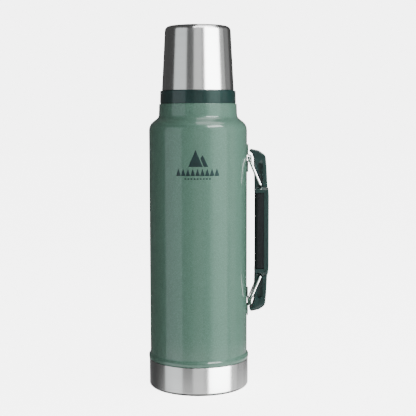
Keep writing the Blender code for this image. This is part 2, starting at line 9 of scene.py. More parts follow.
import bmesh
import bpy
from bpy.props import FloatProperty, FloatVectorProperty, PointerProperty
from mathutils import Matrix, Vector


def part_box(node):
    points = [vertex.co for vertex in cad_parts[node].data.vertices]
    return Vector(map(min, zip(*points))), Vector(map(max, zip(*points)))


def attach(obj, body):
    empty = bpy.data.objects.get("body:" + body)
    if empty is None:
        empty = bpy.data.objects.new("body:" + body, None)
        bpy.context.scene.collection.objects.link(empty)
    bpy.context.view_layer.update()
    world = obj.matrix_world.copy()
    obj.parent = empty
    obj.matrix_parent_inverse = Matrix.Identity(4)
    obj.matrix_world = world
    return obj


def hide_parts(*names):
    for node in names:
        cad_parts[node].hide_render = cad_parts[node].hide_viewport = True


bl_info = {
    "name": "Vacuum flask looks",
    "version": (1, 0, 0),
    "blender": (4, 5, 0),
    "location": "View3D > Sidebar > Flask",
    "description": "Models and finishes the visible pieces of a handled vacuum flask around its packed frame",
    "category": "Object",
}

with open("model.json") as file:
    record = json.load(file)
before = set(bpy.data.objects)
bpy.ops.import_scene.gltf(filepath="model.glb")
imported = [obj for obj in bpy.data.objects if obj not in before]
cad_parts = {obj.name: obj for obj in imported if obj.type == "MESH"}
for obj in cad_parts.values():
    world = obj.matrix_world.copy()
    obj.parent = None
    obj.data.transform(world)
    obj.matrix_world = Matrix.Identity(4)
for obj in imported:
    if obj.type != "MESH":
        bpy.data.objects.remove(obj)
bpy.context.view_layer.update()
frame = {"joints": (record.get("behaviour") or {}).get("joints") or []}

MM = 0.001
LATHE_STEPS = 128
SMALL_STEPS = 48
THREAD_STEPS = 96
# Distance of a holding point from the round it stands beside
HOLD = 0.35
# How deep a thread's ridge stands in its wall, and the rings over which its ends sink there
THREAD_ROOT = 0.3
RUN_OUT = 8
# Share of a ridge's height past which its end sinks, and how far towards the wall its last ring goes
CREST_SHARE = 0.4
SINK_SHARE = 0.95


def extent(node):
    """Largest radius, bottom and top of a turned node, in millimetres."""
    low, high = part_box(node)
    return high.x / MM, low.z / MM, high.z / MM


BEAD_RADIUS, SKIRT_LOW, THROAT_HIGH = extent("outer_shell")
FOOT_RADIUS, FOOT_LOW, FOOT_HIGH = extent("base_cup")
COLLAR_RADIUS, COLLAR_LOW, SLEEVE_HIGH = extent("neck_collar")
CUP_RADIUS, CUP_LOW, CUP_HIGH = extent("cup_shell")
VESSEL_LOW, LIP_HIGH = extent("inner_vessel")[1:]
STOPPER_RADIUS, PLUG_LOW, FLANGE_HIGH = extent("stopper_body")
WIRE_HALF_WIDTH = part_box("upper_bail")[1].y / MM
PAD_LOW, PAD_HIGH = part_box("handle_grip")
FRAME_LOW, FRAME_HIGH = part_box("handle_spine")
HANDLE_MIDDLE = (FRAME_LOW.z + FRAME_HIGH.z) / 2 / MM
SHELL_WALL = 0.6
SHOULDER_SLOPE = math.radians(52)


def length(name, description, millimetres):
    """A length property that opens at a size given in millimetres."""
    return FloatProperty(name=name, description=description, default=millimetres * MM, min=0.0,
                         precision=5, unit="LENGTH", subtype="DISTANCE")


def colour(name, description, linear):
    """A colour property."""
    return FloatVectorProperty(name=name, description=description, default=linear, min=0.0, max=1.0,
                               size=3, subtype="COLOR")


def power(name, description, watts):
    """A lamp's power property."""
    return FloatProperty(name=name, description=description, default=watts, unit="POWER")


class FlaskSizes(bpy.types.PropertyGroup):
    """Sizes that shape the visible pieces."""

    body_radius: length("Body radius", "Radius of the painted body", 50.0)
    neck_radius: length("Neck radius", "Radius at the bottom of the painted neck", 40.0)
    neck_top: length("Neck height", "Height of the neck's top above the table", 290.2)
    shoulder_corner: length("Shoulder height", "Height where the body would meet the shoulder's slope", 268.9)
    sleeve_radius: length("Sleeve radius", "Radius of the collar's threaded sleeve", 32.75)
    mouth_radius: length("Mouth radius", "Inside radius of the mouth", 27.0)
    plug_radius: length("Plug radius", "Radius of the stopper's plug between its threads", 25.3)
    thread_height: length("Thread height", "How far every thread stands off its wall", 1.3)
    wire_radius: length("Wire radius", "Radius of the handle's wire bails", 1.35)


class FlaskFinishes(bpy.types.PropertyGroup):
    """Colours of the flask's finishes."""

    paint: colour("Hammertone paint", "Middle tone of the body paint", (0.132, 0.272, 0.205))
    fleck: colour("Paint flecks", "Light flecks in the body paint", (0.290, 0.480, 0.390))
    ink: colour("Printed mark", "Colour of the mark on the front", (0.004, 0.026, 0.027))
    steel: colour("Steel", "Colour of the brushed cup and foot", (0.62, 0.625, 0.62))
    moulding: colour("Moulded green", "Collar and handle plastic", (0.004, 0.030, 0.027))
    lining: colour("Lining", "Cup lining and stopper plug", (0.010, 0.026, 0.024))
    pad: colour("Grip", "Soft insert in the handle", (0.006, 0.0075, 0.010))
    silicone: colour("Silicone", "Stopper gasket", (0.42, 0.44, 0.42))


class StudioSettings(bpy.types.PropertyGroup):
    """Strengths of the studio lights."""

    key: power("Key", "Power of the large light on the right", 26.0)
    fill: power("Fill", "Power of the light on the left", 2.0)
    front: power("Front", "Power of the light by the camera", 3.0)
    side: power("Side", "Power of the light beside the handle", 6.0)
    top: power("Top", "Power of the light overhead", 7.0)
    backdrop: FloatProperty(name="Backdrop", description="Brightness behind the flask", default=5.5, min=0.0)
    floor: colour("Floor", "Pale table under the flask", (0.80, 0.80, 0.79))


# ---------------------------------------------------------------- modelling


def rounded(corners, closed):
    """Points of an outline with its corners rounded, and a holding point beside each round."""
    points = []
    last = len(corners) - 1
    for index, (x, z, radius) in enumerate(corners):
        corner = Vector((x, z))
        if not radius or (not closed and index in (0, last)):
            points.append(corner)
            continue
        into = corner - Vector(corners[index - 1][:2])
        out = Vector(corners[(index + 1) % len(corners)][:2]) - corner
        spare = min(into.length, out.length)
        into.normalize()
        out.normalize()
        turn = math.atan2(into.x * out.y - into.y * out.x, into.dot(out))
        reach = abs(math.tan(turn / 2))
        cut = min(radius * reach, spare * 0.48)
        towards = Vector((-into.y, into.x)) * math.copysign(cut / reach, turn)
        centre = corner - into * cut + towards
        steps = max(3, round(abs(turn) / math.radians(13)))
        hold = HOLD if spare > 2 * (cut + HOLD) + 0.3 else 0.0
        if hold:
            points.append(corner - into * (cut + hold))
        for step in range(steps + 1):
            angle = turn * step / steps
            cosine = math.cos(angle)
            sine = math.sin(angle)
            arm = Vector((-towards.x * cosine + towards.y * sine, -towards.x * sine - towards.y * cosine))
            points.append(centre + arm)
        if hold:
            points.append(corner + out * (cut + hold))
    return points


def deselect():
    """Leave edit mode and select nothing."""
    if bpy.context.object and bpy.context.object.mode == "EDIT":
        bpy.ops.object.mode_set(mode="OBJECT")
    bpy.ops.object.select_all(action="DESELECT")


def start_path(name, points):
    """A new mesh in edit mode: one wire through (x, z) points in millimetres, all of it selected."""
    def spot(point):
        return Vector((point[0], 0.0, point[1])) * MM

    deselect()
    bpy.ops.mesh.primitive_plane_add(size=MM, location=spot(points[0]))
    bpy.context.object.name = name
    bpy.ops.object.mode_set(mode="EDIT")
    bpy.ops.mesh.merge(type="CENTER")
    for before, after in zip(points, points[1:]):
        bpy.ops.mesh.extrude_region_move(TRANSFORM_OT_translate={"value": spot(after) - spot(before)})
    bpy.ops.mesh.select_all(action="SELECT")


def clean(threshold=0.002):
    """Merge doubles and turn the faces outwards, in edit mode."""
    bpy.ops.mesh.select_all(action="SELECT")
    bpy.ops.mesh.remove_doubles(threshold=threshold * MM)
    bpy.ops.mesh.normals_make_consistent(inside=False)


def settle(smooth=38.0):
    """Leave edit mode, apply the place of the active piece to its mesh, shade it and return it."""
    piece = bpy.context.object
    if piece.mode == "EDIT":
        bpy.ops.object.mode_set(mode="OBJECT")
    bpy.ops.object.select_all(action="DESELECT")
    piece.select_set(True)
    bpy.ops.object.transform_apply(location=True, rotation=True, scale=True)
    bpy.ops.object.shade_smooth_by_angle(angle=math.radians(smooth))
    return piece


def activate(piece):
    """Select one object and make it active."""
    deselect()
    piece.select_set(True)
    bpy.context.view_layer.objects.active = piece


def extrude(x, y, z):
    """Extrude what is selected along a way in millimetres."""
    bpy.ops.mesh.extrude_region_move(TRANSFORM_OT_translate={"value": (x * MM, y * MM, z * MM)})


def pick(test):
    """In edit mode, select the vertices that pass a test of their place in millimetres."""
    bpy.ops.mesh.select_mode(type="VERT")
    bpy.ops.mesh.select_all(action="DESELECT")
    piece = bpy.context.object
    mesh = bmesh.from_edit_mesh(piece.data)
    for vertex in mesh.verts:
        vertex.select = bool(test(piece.matrix_world @ vertex.co / MM))
    mesh.select_flush_mode()
    bmesh.update_edit_mesh(piece.data)


def pick_edges(test):
    """In edit mode, select the edges whose two ends, in millimetres, pass a test."""
    bpy.ops.mesh.select_all(action="DESELECT")
    bpy.ops.mesh.select_mode(type="EDGE")
    piece = bpy.context.object
    mesh = bmesh.from_edit_mesh(piece.data)
    for edge in mesh.edges:
        ends = [piece.matrix_world @ vertex.co / MM for vertex in edge.verts]
        edge.select = bool(test(*ends))
    bmesh.update_edit_mesh(piece.data)


def modify(piece, kind, **settings):
    """Add a modifier to a piece and apply it."""
    activate(piece)
    change = piece.modifiers.new(kind.lower(), kind)
    for key, value in settings.items():
        setattr(change, key, value)
    bpy.ops.object.modifier_apply(modifier=change.name)


def soften(piece, width, segments, angle):
    """Bevel, by a width in millimetres, the edges that turn by more than an angle in degrees."""
    modify(piece, "BEVEL", width=width * MM, segments=segments, limit_method="ANGLE",
           angle_limit=math.radians(angle))


def cut_with(piece, cutter, operation="DIFFERENCE"):
    """Apply a Boolean with a second object and delete that object."""
    modify(piece, "BOOLEAN", object=cutter, operation=operation, solver="EXACT")
    bpy.data.objects.remove(cutter, do_unlink=True)


def mend(piece, threshold=0.01):
    """Close up the slivers that a Boolean or a bevel leaves. Ends in vertex selection, as pick needs."""
    activate(piece)
    bpy.ops.object.mode_set(mode="EDIT")
    clean(threshold)
    bpy.ops.mesh.dissolve_degenerate(threshold=threshold * MM)
    bpy.ops.mesh.select_all(action="DESELECT")
    bpy.ops.mesh.select_interior_faces()
    bpy.ops.mesh.delete(type="FACE")
    bpy.ops.mesh.select_mode(type="EDGE")
    bpy.ops.mesh.select_non_manifold(use_multi_face=False, use_non_contiguous=False, use_verts=False)
    bpy.ops.mesh.fill_holes(sides=0)
    clean(threshold / 10)
    bpy.ops.mesh.select_mode(type="VERT")
    bpy.ops.object.mode_set(mode="OBJECT")


def join(pieces):
    """Join several meshes into the first one."""
    activate(pieces[0])
    for piece in pieces:
        piece.select_set(True)
    bpy.ops.object.join()
    return pieces[0]


def lathe(name, corners, steps=LATHE_STEPS):
    """Spin an outline of (radius, height, rounding) corners about Z into a closed piece."""
    closed = corners[0][0] > 0
    outline = rounded(corners, closed)
    if closed:
        outline.append(outline[0])
    start_path(name, outline)
    bpy.ops.mesh.spin(steps=steps, angle=math.tau, center=(0, 0, 0), axis=(0, 0, 1))
    clean()
    return settle()


def thread(root, crest, widths, lead, base, first_turn, turns, starts=1):
    """Helical ridges for a screw thread, with ends that sink into the wall they stand on."""
    sunk = root - math.copysign(THREAD_ROOT, crest - root)
    ridges = []
    for start in range(starts):
        middle = base + lead * first_turn
        section = [(sunk, middle - widths[0] / 2), (crest, middle - widths[1] / 2),
                   (crest, middle + widths[1] / 2), (sunk, middle + widths[0] / 2)]
        start_path("thread", rounded([(x, z, 0.25) for x, z in section], True))
        bpy.ops.mesh.edge_face_add()
        bpy.ops.mesh.delete(type="ONLY_FACE")
        ridge = settle()
        across = len(ridge.data.vertices)
        steps = round(turns * THREAD_STEPS)
        modify(ridge, "SCREW", angle=math.tau * turns, screw_offset=lead * turns * MM, steps=steps,
               render_steps=steps, axis="Z", use_merge_vertices=False)
        bpy.ops.object.mode_set(mode="EDIT")
        for ring in range(RUN_OUT):
            wanted = set(range(ring * across, (ring + 1) * across))
            wanted |= set(range((steps - ring) * across, (steps - ring + 1) * across))
            bpy.ops.mesh.select_all(action="DESELECT")
            mesh = bmesh.from_edit_mesh(ridge.data)
            mesh.verts.ensure_lookup_table()
            for index in wanted:
                spot = mesh.verts[index].co / MM
                proud = abs(math.hypot(spot.x, spot.y) - sunk) / abs(crest - sunk)
                mesh.verts[index].select = proud > CREST_SHARE
            bmesh.update_edit_mesh(ridge.data)
            drop = math.cos(math.pi / 2 * ring / RUN_OUT) ** 2
            sink = 1 + SINK_SHARE * (sunk / crest - 1) * drop
            bpy.ops.transform.resize(value=(sink, sink, 1), center_override=(0, 0, 0))
        bpy.ops.mesh.select_all(action="DESELECT")
        bpy.ops.mesh.select_non_manifold()
        bpy.ops.mesh.fill_holes(sides=0)
        bpy.ops.object.mode_set(mode="OBJECT")
        ridge.rotation_euler.z = math.tau * (first_turn + start / starts)
        ridges.append(settle())
        bpy.ops.object.mode_set(mode="EDIT")
        clean()
        bpy.ops.object.mode_set(mode="OBJECT")
    return ridges


def wear(piece, body, slot, finish, *nodes):
    """Give a modelled piece its finish and its body, and hide the nodes it stands for. The slot is not used.
    """
    piece.data.materials.clear()
    piece.data.materials.append(material(finish))
    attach(piece, body)
    if nodes:
        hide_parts(*nodes)


def turned(name, corners, body, slot, finish, node, steps=LATHE_STEPS):
    """Lathe a piece, let it wear its finish and body and hide its node. The slot is not used."""
    wear(lathe(name, corners, steps), body, slot, finish, node)


def disc(radius, low, high, low_round, high_round):
    """Outline of a solid disc, from the axis out and back."""
    return [(0, low, 0), (radius, low, low_round), (radius, high, high_round), (0, high, 0)]


# ---------------------------------------------------------------- materials


def feed(tree, socket, value):
    """Link a socket to another, or set it."""
    if isinstance(value, bpy.types.NodeSocket):
        tree.links.new(value, socket)
    else:
        socket.default_value = value


def add(tree, kind, settings=None, **inputs):
    """Add a node, set its options and feed its named inputs."""
    node = tree.nodes.new(kind)
    for key, value in (settings or {}).items():
        setattr(node, key, value)
    for key, value in inputs.items():
        feed(tree, node.inputs[key.replace("_", " ")], value)
    return node


def blend_colours(tree, factor, first, second):
    """Mix two colours by a factor and return the result's socket."""
    node = tree.nodes.new("ShaderNodeMix")
    node.data_type = "RGBA"
    feed(tree, node.inputs[0], factor)
    feed(tree, node.inputs[6], first)
    feed(tree, node.inputs[7], second)
    return node.outputs[2]


def spread(tree, value, low, high, to_low=0.0, to_high=1.0):
    """Map a value's range onto another, clamped."""
    node = add(tree, "ShaderNodeMapRange", {"clamp": True}, Value=value)
    for index, number in enumerate((low, high, to_low, to_high)):
        node.inputs[index + 1].default_value = number
    return node.outputs["Result"]


def stretched(tree, scale):
    """Object coordinates stretched by a scale along each axis."""
    place = add(tree, "ShaderNodeTexCoord")
    return add(tree, "ShaderNodeMapping", Vector=place.outputs["Object"], Scale=scale).outputs["Vector"]


def noise(tree, where, scale, detail, roughness=0.5, **inputs):
    """A noise pattern's value."""
    node = add(tree, "ShaderNodeTexNoise", Vector=where, Scale=scale, Detail=detail, Roughness=roughness,
               **inputs)
    return node.outputs["Fac"]


def calculate(tree, operation, first, second):
    """Two values added or multiplied."""
    node = add(tree, "ShaderNodeMath", {"operation": operation})
    feed(tree, node.inputs[0], first)
    feed(tree, node.inputs[1], second)
    return node.outputs["Value"]


def opaque(tint, strength=1.0, lift=0.0):
    """A tint as an opaque colour, made stronger or weaker and lifted."""
    return tuple(min(1.0, channel * strength + lift) for channel in tint) + (1.0,)


def group(name, inputs, outputs):
    """A new shader node group, with its float inputs and float outputs."""
    tree = bpy.data.node_groups.new(name, "ShaderNodeTree")
    for label, default in inputs.items():
        socket = tree.interface.new_socket(label, in_out="INPUT", socket_type="NodeSocketFloat")
        socket.default_value = default
    for label in outputs:
        tree.interface.new_socket(label, in_out="OUTPUT", socket_type="NodeSocketFloat")
    return tree, tree.nodes.new("NodeGroupInput"), tree.nodes.new("NodeGroupOutput")


def brush_group():
    """Fine brush lines that run round Z, with a slow drift from line to line."""
    tree, given, result = group("Turned brush lines", {"Fineness": 1.0}, ["Line", "Drift"])
    fine = noise(tree, stretched(tree, (14, 14, 5200)), given.outputs["Fineness"], 3.0, 0.65)
    slow = noise(tree, stretched(tree, (7, 7, 420)), given.outputs["Fineness"], 2.0)
    tree.links.new(spread(tree, fine, 0.3, 0.7), result.inputs["Line"])
    tree.links.new(spread(tree, slow, 0.3, 0.7), result.inputs["Drift"])
    return tree


def moulded_group():
    """Spark-eroded mould texture, and slow mottling of the colour."""
    tree, given, result = group("Moulded texture", {"Grain": 1800.0}, ["Height", "Mottle"])
    where = stretched(tree, (1, 1, 1))
    tree.links.new(noise(tree, where, given.outputs["Grain"], 2.0, 0.6), result.inputs["Height"])
    tree.links.new(spread(tree, noise(tree, where, 38.0, 3.0), 0.35, 0.65), result.inputs["Mottle"])
    return tree


def handling_group():
    """Faint smudges and fine dust from handling, as a mask."""
    tree, given, result = group("Handling marks", {"Size": 26.0, "Amount": 1.0}, ["Smudge"])
    patches = noise(tree, stretched(tree, (1, 1, 1)), given.outputs["Size"], 5.0, 0.62, Distortion=0.6)
    smudge = calculate(tree, "MULTIPLY", spread(tree, patches, 0.48, 0.74), given.outputs["Amount"])
    tree.links.new(smudge, result.inputs["Smudge"])
    return tree


def use_group(tree, name, **inputs):
    """Place a node group, built on its first use."""
    builders = {
        "Turned brush lines": brush_group,
        "Moulded texture": moulded_group,
        "Handling marks": handling_group,
    }
    node = tree.nodes.new("ShaderNodeGroup")
    node.node_tree = bpy.data.node_groups.get(name) or builders[name]()
    for key, value in inputs.items():
        feed(tree, node.inputs[key], value)
    return node


def shader_of(name, **values):
    """A new material, with plain values set on its Principled shader. Returns material, tree and shader."""
    material = bpy.data.materials.new(name)
    material.use_nodes = True
    shader = material.node_tree.nodes["Principled BSDF"]
    for key, value in values.items():
        shader.inputs[key.replace("_", " ")].default_value = value
    return material, material.node_tree, shader


def bump(tree, shader, height, distance, strength=1.0):
    """Bump a surface by a height in millimetres."""
    node = add(tree, "ShaderNodeBump", Height=height, Distance=distance * MM, Strength=strength)
    tree.links.new(node.outputs["Normal"], shader.inputs["Normal"])


def paint_material(finishes):
    """Hammertone paint: small flecks and dimples under a clear coat, with faint handling marks in its
    roughness.
    """
    material, tree, shader = shader_of("hammertone_paint", Metallic=0.05, Coat_Weight=0.9,
                                       Coat_Roughness=0.04, Coat_IOR=1.6, Specular_IOR_Level=0.3)
    where = stretched(tree, (1, 1, 1))
    cells = add(tree, "ShaderNodeTexVoronoi", {"feature": "F1"}, Vector=where, Scale=950.0, Randomness=1.0)
    grains = noise(tree, where, 1500.0, 2.0, 0.7)
    slow = noise(tree, where, 60.0, 2.0)
    marks = use_group(tree, "Handling marks", Size=20.0, Amount=0.5)
    paint = opaque(finishes.paint)
    deep = opaque(finishes.paint, 0.78)
    ground = blend_colours(tree, spread(tree, grains, 0.42, 0.62), deep, paint)
    flecks = spread(tree, cells.outputs["Distance"], 0.46, 0.16, 0.0, 0.26)
    flecked = blend_colours(tree, flecks, ground, opaque(finishes.fleck))
    toned = blend_colours(tree, spread(tree, slow, 0.3, 0.7, 0.0, 0.18), flecked, paint)
    tree.links.new(toned, shader.inputs["Base Color"])
    tree.links.new(spread(tree, marks.outputs["Smudge"], 0.0, 1.0, 0.36, 0.46), shader.inputs["Roughness"])
    bump(tree, shader, cells.outputs["Distance"], 0.03, 0.35)
    return material


def steel_material(name, tint, roughness, fineness, anisotropy, depth):
    """Steel brushed round its axis."""
    material, tree, shader = shader_of(name, Metallic=1.0, Anisotropic=anisotropy, Anisotropic_Rotation=0.25)
    lines = use_group(tree, "Turned brush lines", Fineness=fineness)
    marks = use_group(tree, "Handling marks", Size=24.0, Amount=0.6)
    bright = opaque(tint)
    dull = opaque(tint, 0.84)
    streaked = blend_colours(tree, spread(tree, lines.outputs["Line"], 0.0, 1.0, 0.45, 1.0), dull, bright)
    drifted = blend_colours(tree, spread(tree, lines.outputs["Drift"], 0.0, 1.0, 0.0, 0.16), streaked, dull)
    tree.links.new(drifted, shader.inputs["Base Color"])
    brushed = spread(tree, lines.outputs["Line"], 0.0, 1.0, roughness + 0.02, roughness - 0.02)
    rubbed = spread(tree, marks.outputs["Smudge"], 0.0, 1.0, 0.0, 0.05)
    tree.links.new(calculate(tree, "ADD", brushed, rubbed), shader.inputs["Roughness"])
    bump(tree, shader, lines.outputs["Line"], depth, 0.05)
    return material


def wire_material(finishes):
    """Bright drawn wire with faint draw marks."""
    material, tree, shader = shader_of("drawn_wire", Metallic=1.0)
    drawn = noise(tree, stretched(tree, (900, 900, 120)), 1.0, 3.0)
    bright = opaque(finishes.steel, 1.28)
    dull = opaque(finishes.steel, 0.95)
    toned = blend_colours(tree, spread(tree, drawn, 0.35, 0.65), dull, bright)
    tree.links.new(toned, shader.inputs["Base Color"])
    tree.links.new(spread(tree, drawn, 0.3, 0.7, 0.15, 0.08), shader.inputs["Roughness"])
    bump(tree, shader, drawn, 0.01, 0.4)
    return material


def plastic_material(name, tint, roughness, grain, depth, coat=0.0):
    """Moulded plastic with a fine mould texture, slow mottling and faint handling marks."""
    material, tree, shader = shader_of(name, Coat_Weight=coat, Coat_Roughness=0.07)
    texture = use_group(tree, "Moulded texture", Grain=grain)
    marks = use_group(tree, "Handling marks", Size=45.0, Amount=0.8)
    light = opaque(tint, 1.35, 0.001)
    worn = opaque(tint, 1.7, 0.004)
    mottle = spread(tree, texture.outputs["Mottle"], 0.0, 1.0, 0.0, 0.6)
    mottled = blend_colours(tree, mottle, opaque(tint), light)
    rubbed = blend_colours(tree, spread(tree, marks.outputs["Smudge"], 0.0, 1.0, 0.0, 0.35), mottled, worn)
    tree.links.new(rubbed, shader.inputs["Base Color"])
    tree.links.new(spread(tree, marks.outputs["Smudge"], 0.0, 1.0, roughness, roughness + 0.12),
                   shader.inputs["Roughness"])
    bump(tree, shader, texture.outputs["Height"], depth, 0.5)
    return material


def speckled_material(name, tint, roughness, scale, metallic=0.0):
    """A hidden piece's finish: foam cells, foil creases or sintered grain by its scale."""
    material, tree, shader = shader_of(name, Metallic=metallic, Roughness=roughness)
    cells = add(tree, "ShaderNodeTexVoronoi", Vector=stretched(tree, (1, 1, 1)), Scale=scale)
    depth = spread(tree, cells.outputs["Distance"], 0.1, 0.6)
    mixed = blend_colours(tree, depth, opaque(tint), opaque(tint, 0.72))
    tree.links.new(mixed, shader.inputs["Base Color"])
    bump(tree, shader, cells.outputs["Distance"], 0.12, 0.6)
    return material


def material(name):
    """The named finish, built on its first use."""
    found = bpy.data.materials.get(name)
    if found:
        return found
    tones = bpy.context.scene.flask_finishes
    steel = tuple(tones.steel)
    satin = tuple(channel * 0.8 for channel in steel)
    makers = {
        "hammertone_paint": lambda: paint_material(tones),
        "brushed_cup_steel": lambda: steel_material(name, steel, 0.22, 1.0, 0.75, 0.002),
        "satin_vessel_steel": lambda: steel_material(name, satin, 0.36, 0.6, 0.4, 0.006),
        "drawn_wire": lambda: wire_material(tones),
        "moulded_green": lambda: plastic_material(name, tones.moulding, 0.42, 1700.0, 0.006, 0.9),
        "lining_plastic": lambda: plastic_material(name, tones.lining, 0.46, 1500.0, 0.014),
        "grip_insert": lambda: plastic_material(name, tones.pad, 0.58, 2300.0, 0.03),
        "printed_ink": lambda: plastic_material(name, tones.ink, 0.50, 2600.0, 0.002, 0.4),
        "gasket_silicone": lambda: plastic_material(name, tones.silicone, 0.55, 1200.0, 0.006),
        "insulating_foam": lambda: speckled_material(name, (0.72, 0.69, 0.58), 0.9, 700.0),
        "copper_foil": lambda: speckled_material(name, (0.80, 0.44, 0.30), 0.28, 160.0, 1.0),
        "sintered_getter": lambda: speckled_material(name, (0.30, 0.29, 0.28), 0.6, 1600.0, 1.0),
        "solder_glass": lambda: speckled_material(name, (0.16, 0.16, 0.18), 0.15, 500.0),
    }
    return makers[name]()


# ---------------------------------------------------------------- pieces


class FLASK_OT_shell(bpy.types.Operator):
    """Model the painted shell: skirt, rolled bead, body, shoulder and neck"""

    bl_idname = "flask.shell"
    bl_label = "Painted shell"

    def execute(self, context):
        sizes = context.scene.flask_sizes
        body = sizes.body_radius / MM
        neck = sizes.neck_radius / MM
        top = sizes.neck_top / MM
        corner = sizes.shoulder_corner / MM
        slope_top = corner + (body - neck) / math.tan(SHOULDER_SLOPE)
        throat = 30.9
        skirt = body - 0.1
        rim = neck - 0.5
        seat = COLLAR_RADIUS - 0.6
        seat_high = COLLAR_LOW - 0.05
        bead_low = FOOT_HIGH + 0.35
        inset = SHELL_WALL * math.tan(SHOULDER_SLOPE / 2)
        corners = [
            (skirt, SKIRT_LOW, 0.1), (skirt, bead_low, 0.3), (BEAD_RADIUS, bead_low + 0.1, 1.2),
            (BEAD_RADIUS, bead_low + 3.5, 1.8), (body, bead_low + 5.9, 1.8), (body, corner, 11.0),
            (neck, slope_top, 5.7), (rim, top, 0.45), (seat, top, 0.05), (seat, seat_high, 0.05),
            (throat, seat_high, 0.4),
            (throat, THROAT_HIGH, 0.15), (throat - SHELL_WALL, THROAT_HIGH, 0.15),
            (throat - SHELL_WALL, top - SHELL_WALL, 0.4), (rim - SHELL_WALL, top - SHELL_WALL, 0.4),
            (neck - SHELL_WALL, slope_top - inset, 6.3), (body - SHELL_WALL, corner - inset, 10.4),
            (body - SHELL_WALL, SKIRT_LOW, 0.1),
        ]
        turned("shell_painted", corners, "flask", "body_paint", "hammertone_paint", "outer_shell")
        return {"FINISHED"}


class FLASK_OT_foot(bpy.types.Operator):
    """Model the brushed steel foot with the ring pressed into its floor"""

    bl_idname = "flask.foot"
    bl_label = "Steel foot"

    def execute(self, context):
        inner = FOOT_RADIUS - SHELL_WALL
        ring = [(36.0, 0.0, 0.3), (36.6, 0.8, 0.4), (40.4, 0.8, 0.4), (41.0, 0.0, 0.3)]
        corners = [(0, FOOT_LOW, 0)] + ring
        corners += [(FOOT_RADIUS, FOOT_LOW, 3.0), (FOOT_RADIUS, FOOT_HIGH, 0.3), (inner, FOOT_HIGH, 0.2)]
        corners += [(inner, FOOT_LOW + SHELL_WALL, 2.4)]
        corners += [(r, z + SHELL_WALL, rounding) for r, z, rounding in reversed(ring)]
        corners += [(0, FOOT_LOW + SHELL_WALL, 0)]
        turned("foot_steel", corners, "flask", "brushed_steel", "brushed_cup_steel", "base_cup")
        return {"FINISHED"}


CUP_THREAD = {"widths": (2.0, 1.1), "lead": 9.0, "starts": 2}
STOPPER_THREAD = {"widths": (1.7, 0.9), "lead": 4.0}
CUP_THREAD_BASE = 306.1
STOPPER_THREAD_BASE = 304.5


class FLASK_OT_collar(bpy.types.Operator):
    """Model the moulded collar and its thread"""

    bl_idname = "flask.collar"
    bl_label = "Collar"

    def execute(self, context):
        sizes = context.scene.flask_sizes
        sleeve = sizes.sleeve_radius / MM
        bore = 31.3
        sleeve_foot = 33.2
        band_bore = 36.75
        band_roof = 300.8
        band_top = 303.3
        corners = [
            (bore, SLEEVE_HIGH, 0.2), (bore, COLLAR_LOW, 0.2), (sleeve_foot, COLLAR_LOW, 0.1),
            (sleeve_foot, band_roof, 0.3), (band_bore, band_roof, 0.3), (band_bore, COLLAR_LOW, 0.1),
            (COLLAR_RADIUS, COLLAR_LOW, 0.45),
            (COLLAR_RADIUS - 0.3, band_top, 0.5), (sleeve, band_top, 0.3), (sleeve, SLEEVE_HIGH, 0.5),
        ]
        collar = lathe("collar_moulded", corners)
        ridges = thread(sleeve, sleeve + sizes.thread_height / MM, base=CUP_THREAD_BASE, first_turn=0.0,
                        turns=0.95, **CUP_THREAD)
        collar = join([collar] + ridges)
        wear(collar, "flask", "green_plastic", "moulded_green", "neck_collar")
        return {"FINISHED"}


class FLASK_OT_cup(bpy.types.Operator):
    """Model the cup's steel outside, its threaded lining and the foam disc in its roof"""

    bl_idname = "flask.cup"
    bl_label = "Cup"

    def execute(self, context):
        taper = 0.0539

        def wall(height):
            return CUP_RADIUS - taper * (height - CUP_LOW)

        hem = CUP_LOW + SHELL_WALL
        hem_radius = 34.9
        outside = [
            (0, CUP_HIGH, 0), (wall(CUP_HIGH), CUP_HIGH, 5.0), (CUP_RADIUS, CUP_LOW, 0.45),
            (hem_radius, CUP_LOW, 0.2), (hem_radius, hem, 0.15), (wall(hem) - SHELL_WALL, hem, 0.2),
            (wall(CUP_HIGH) - SHELL_WALL, CUP_HIGH - SHELL_WALL, 4.4), (0, CUP_HIGH - SHELL_WALL, 0),
        ]
        turned("cup_steel", outside, "cup", "brushed_steel", "brushed_cup_steel", "cup_shell")
        gap = SHELL_WALL + 0.3
        bore = 34.4
        lining_wall = 0.8
        inset = gap + lining_wall
        seat = 317.6
        step = 319.0
        _, low, roof = extent("cup_liner")
        inside = [
            (0, roof, 0), (wall(roof) - gap, roof, 5.8), (wall(low) - gap, low, 0.3), (bore, low, 0.3),
            (bore, seat, 0.5), (wall(step) - inset, step, 0.8), (wall(roof) - inset, roof - lining_wall, 5.0),
            (0, roof - lining_wall, 0),
        ]
        lining = lathe("cup_lining", inside)
        rise = context.scene.flask_sizes.thread_height / MM
        ridges = thread(bore, bore - rise, base=CUP_THREAD_BASE + 2.25, first_turn=-0.25, turns=1.0,
                        **CUP_THREAD)
        wear(join([lining] + ridges), "cup", "liner_plastic", "lining_plastic", "cup_liner")
        radius, low, high = extent("cup_foam")
        outline = disc(radius, low, high, 0.6, 1.0)
        turned("cup_foam_disc", outline, "cup_core", "foam", "insulating_foam", "cup_foam")
        return {"FINISHED"}


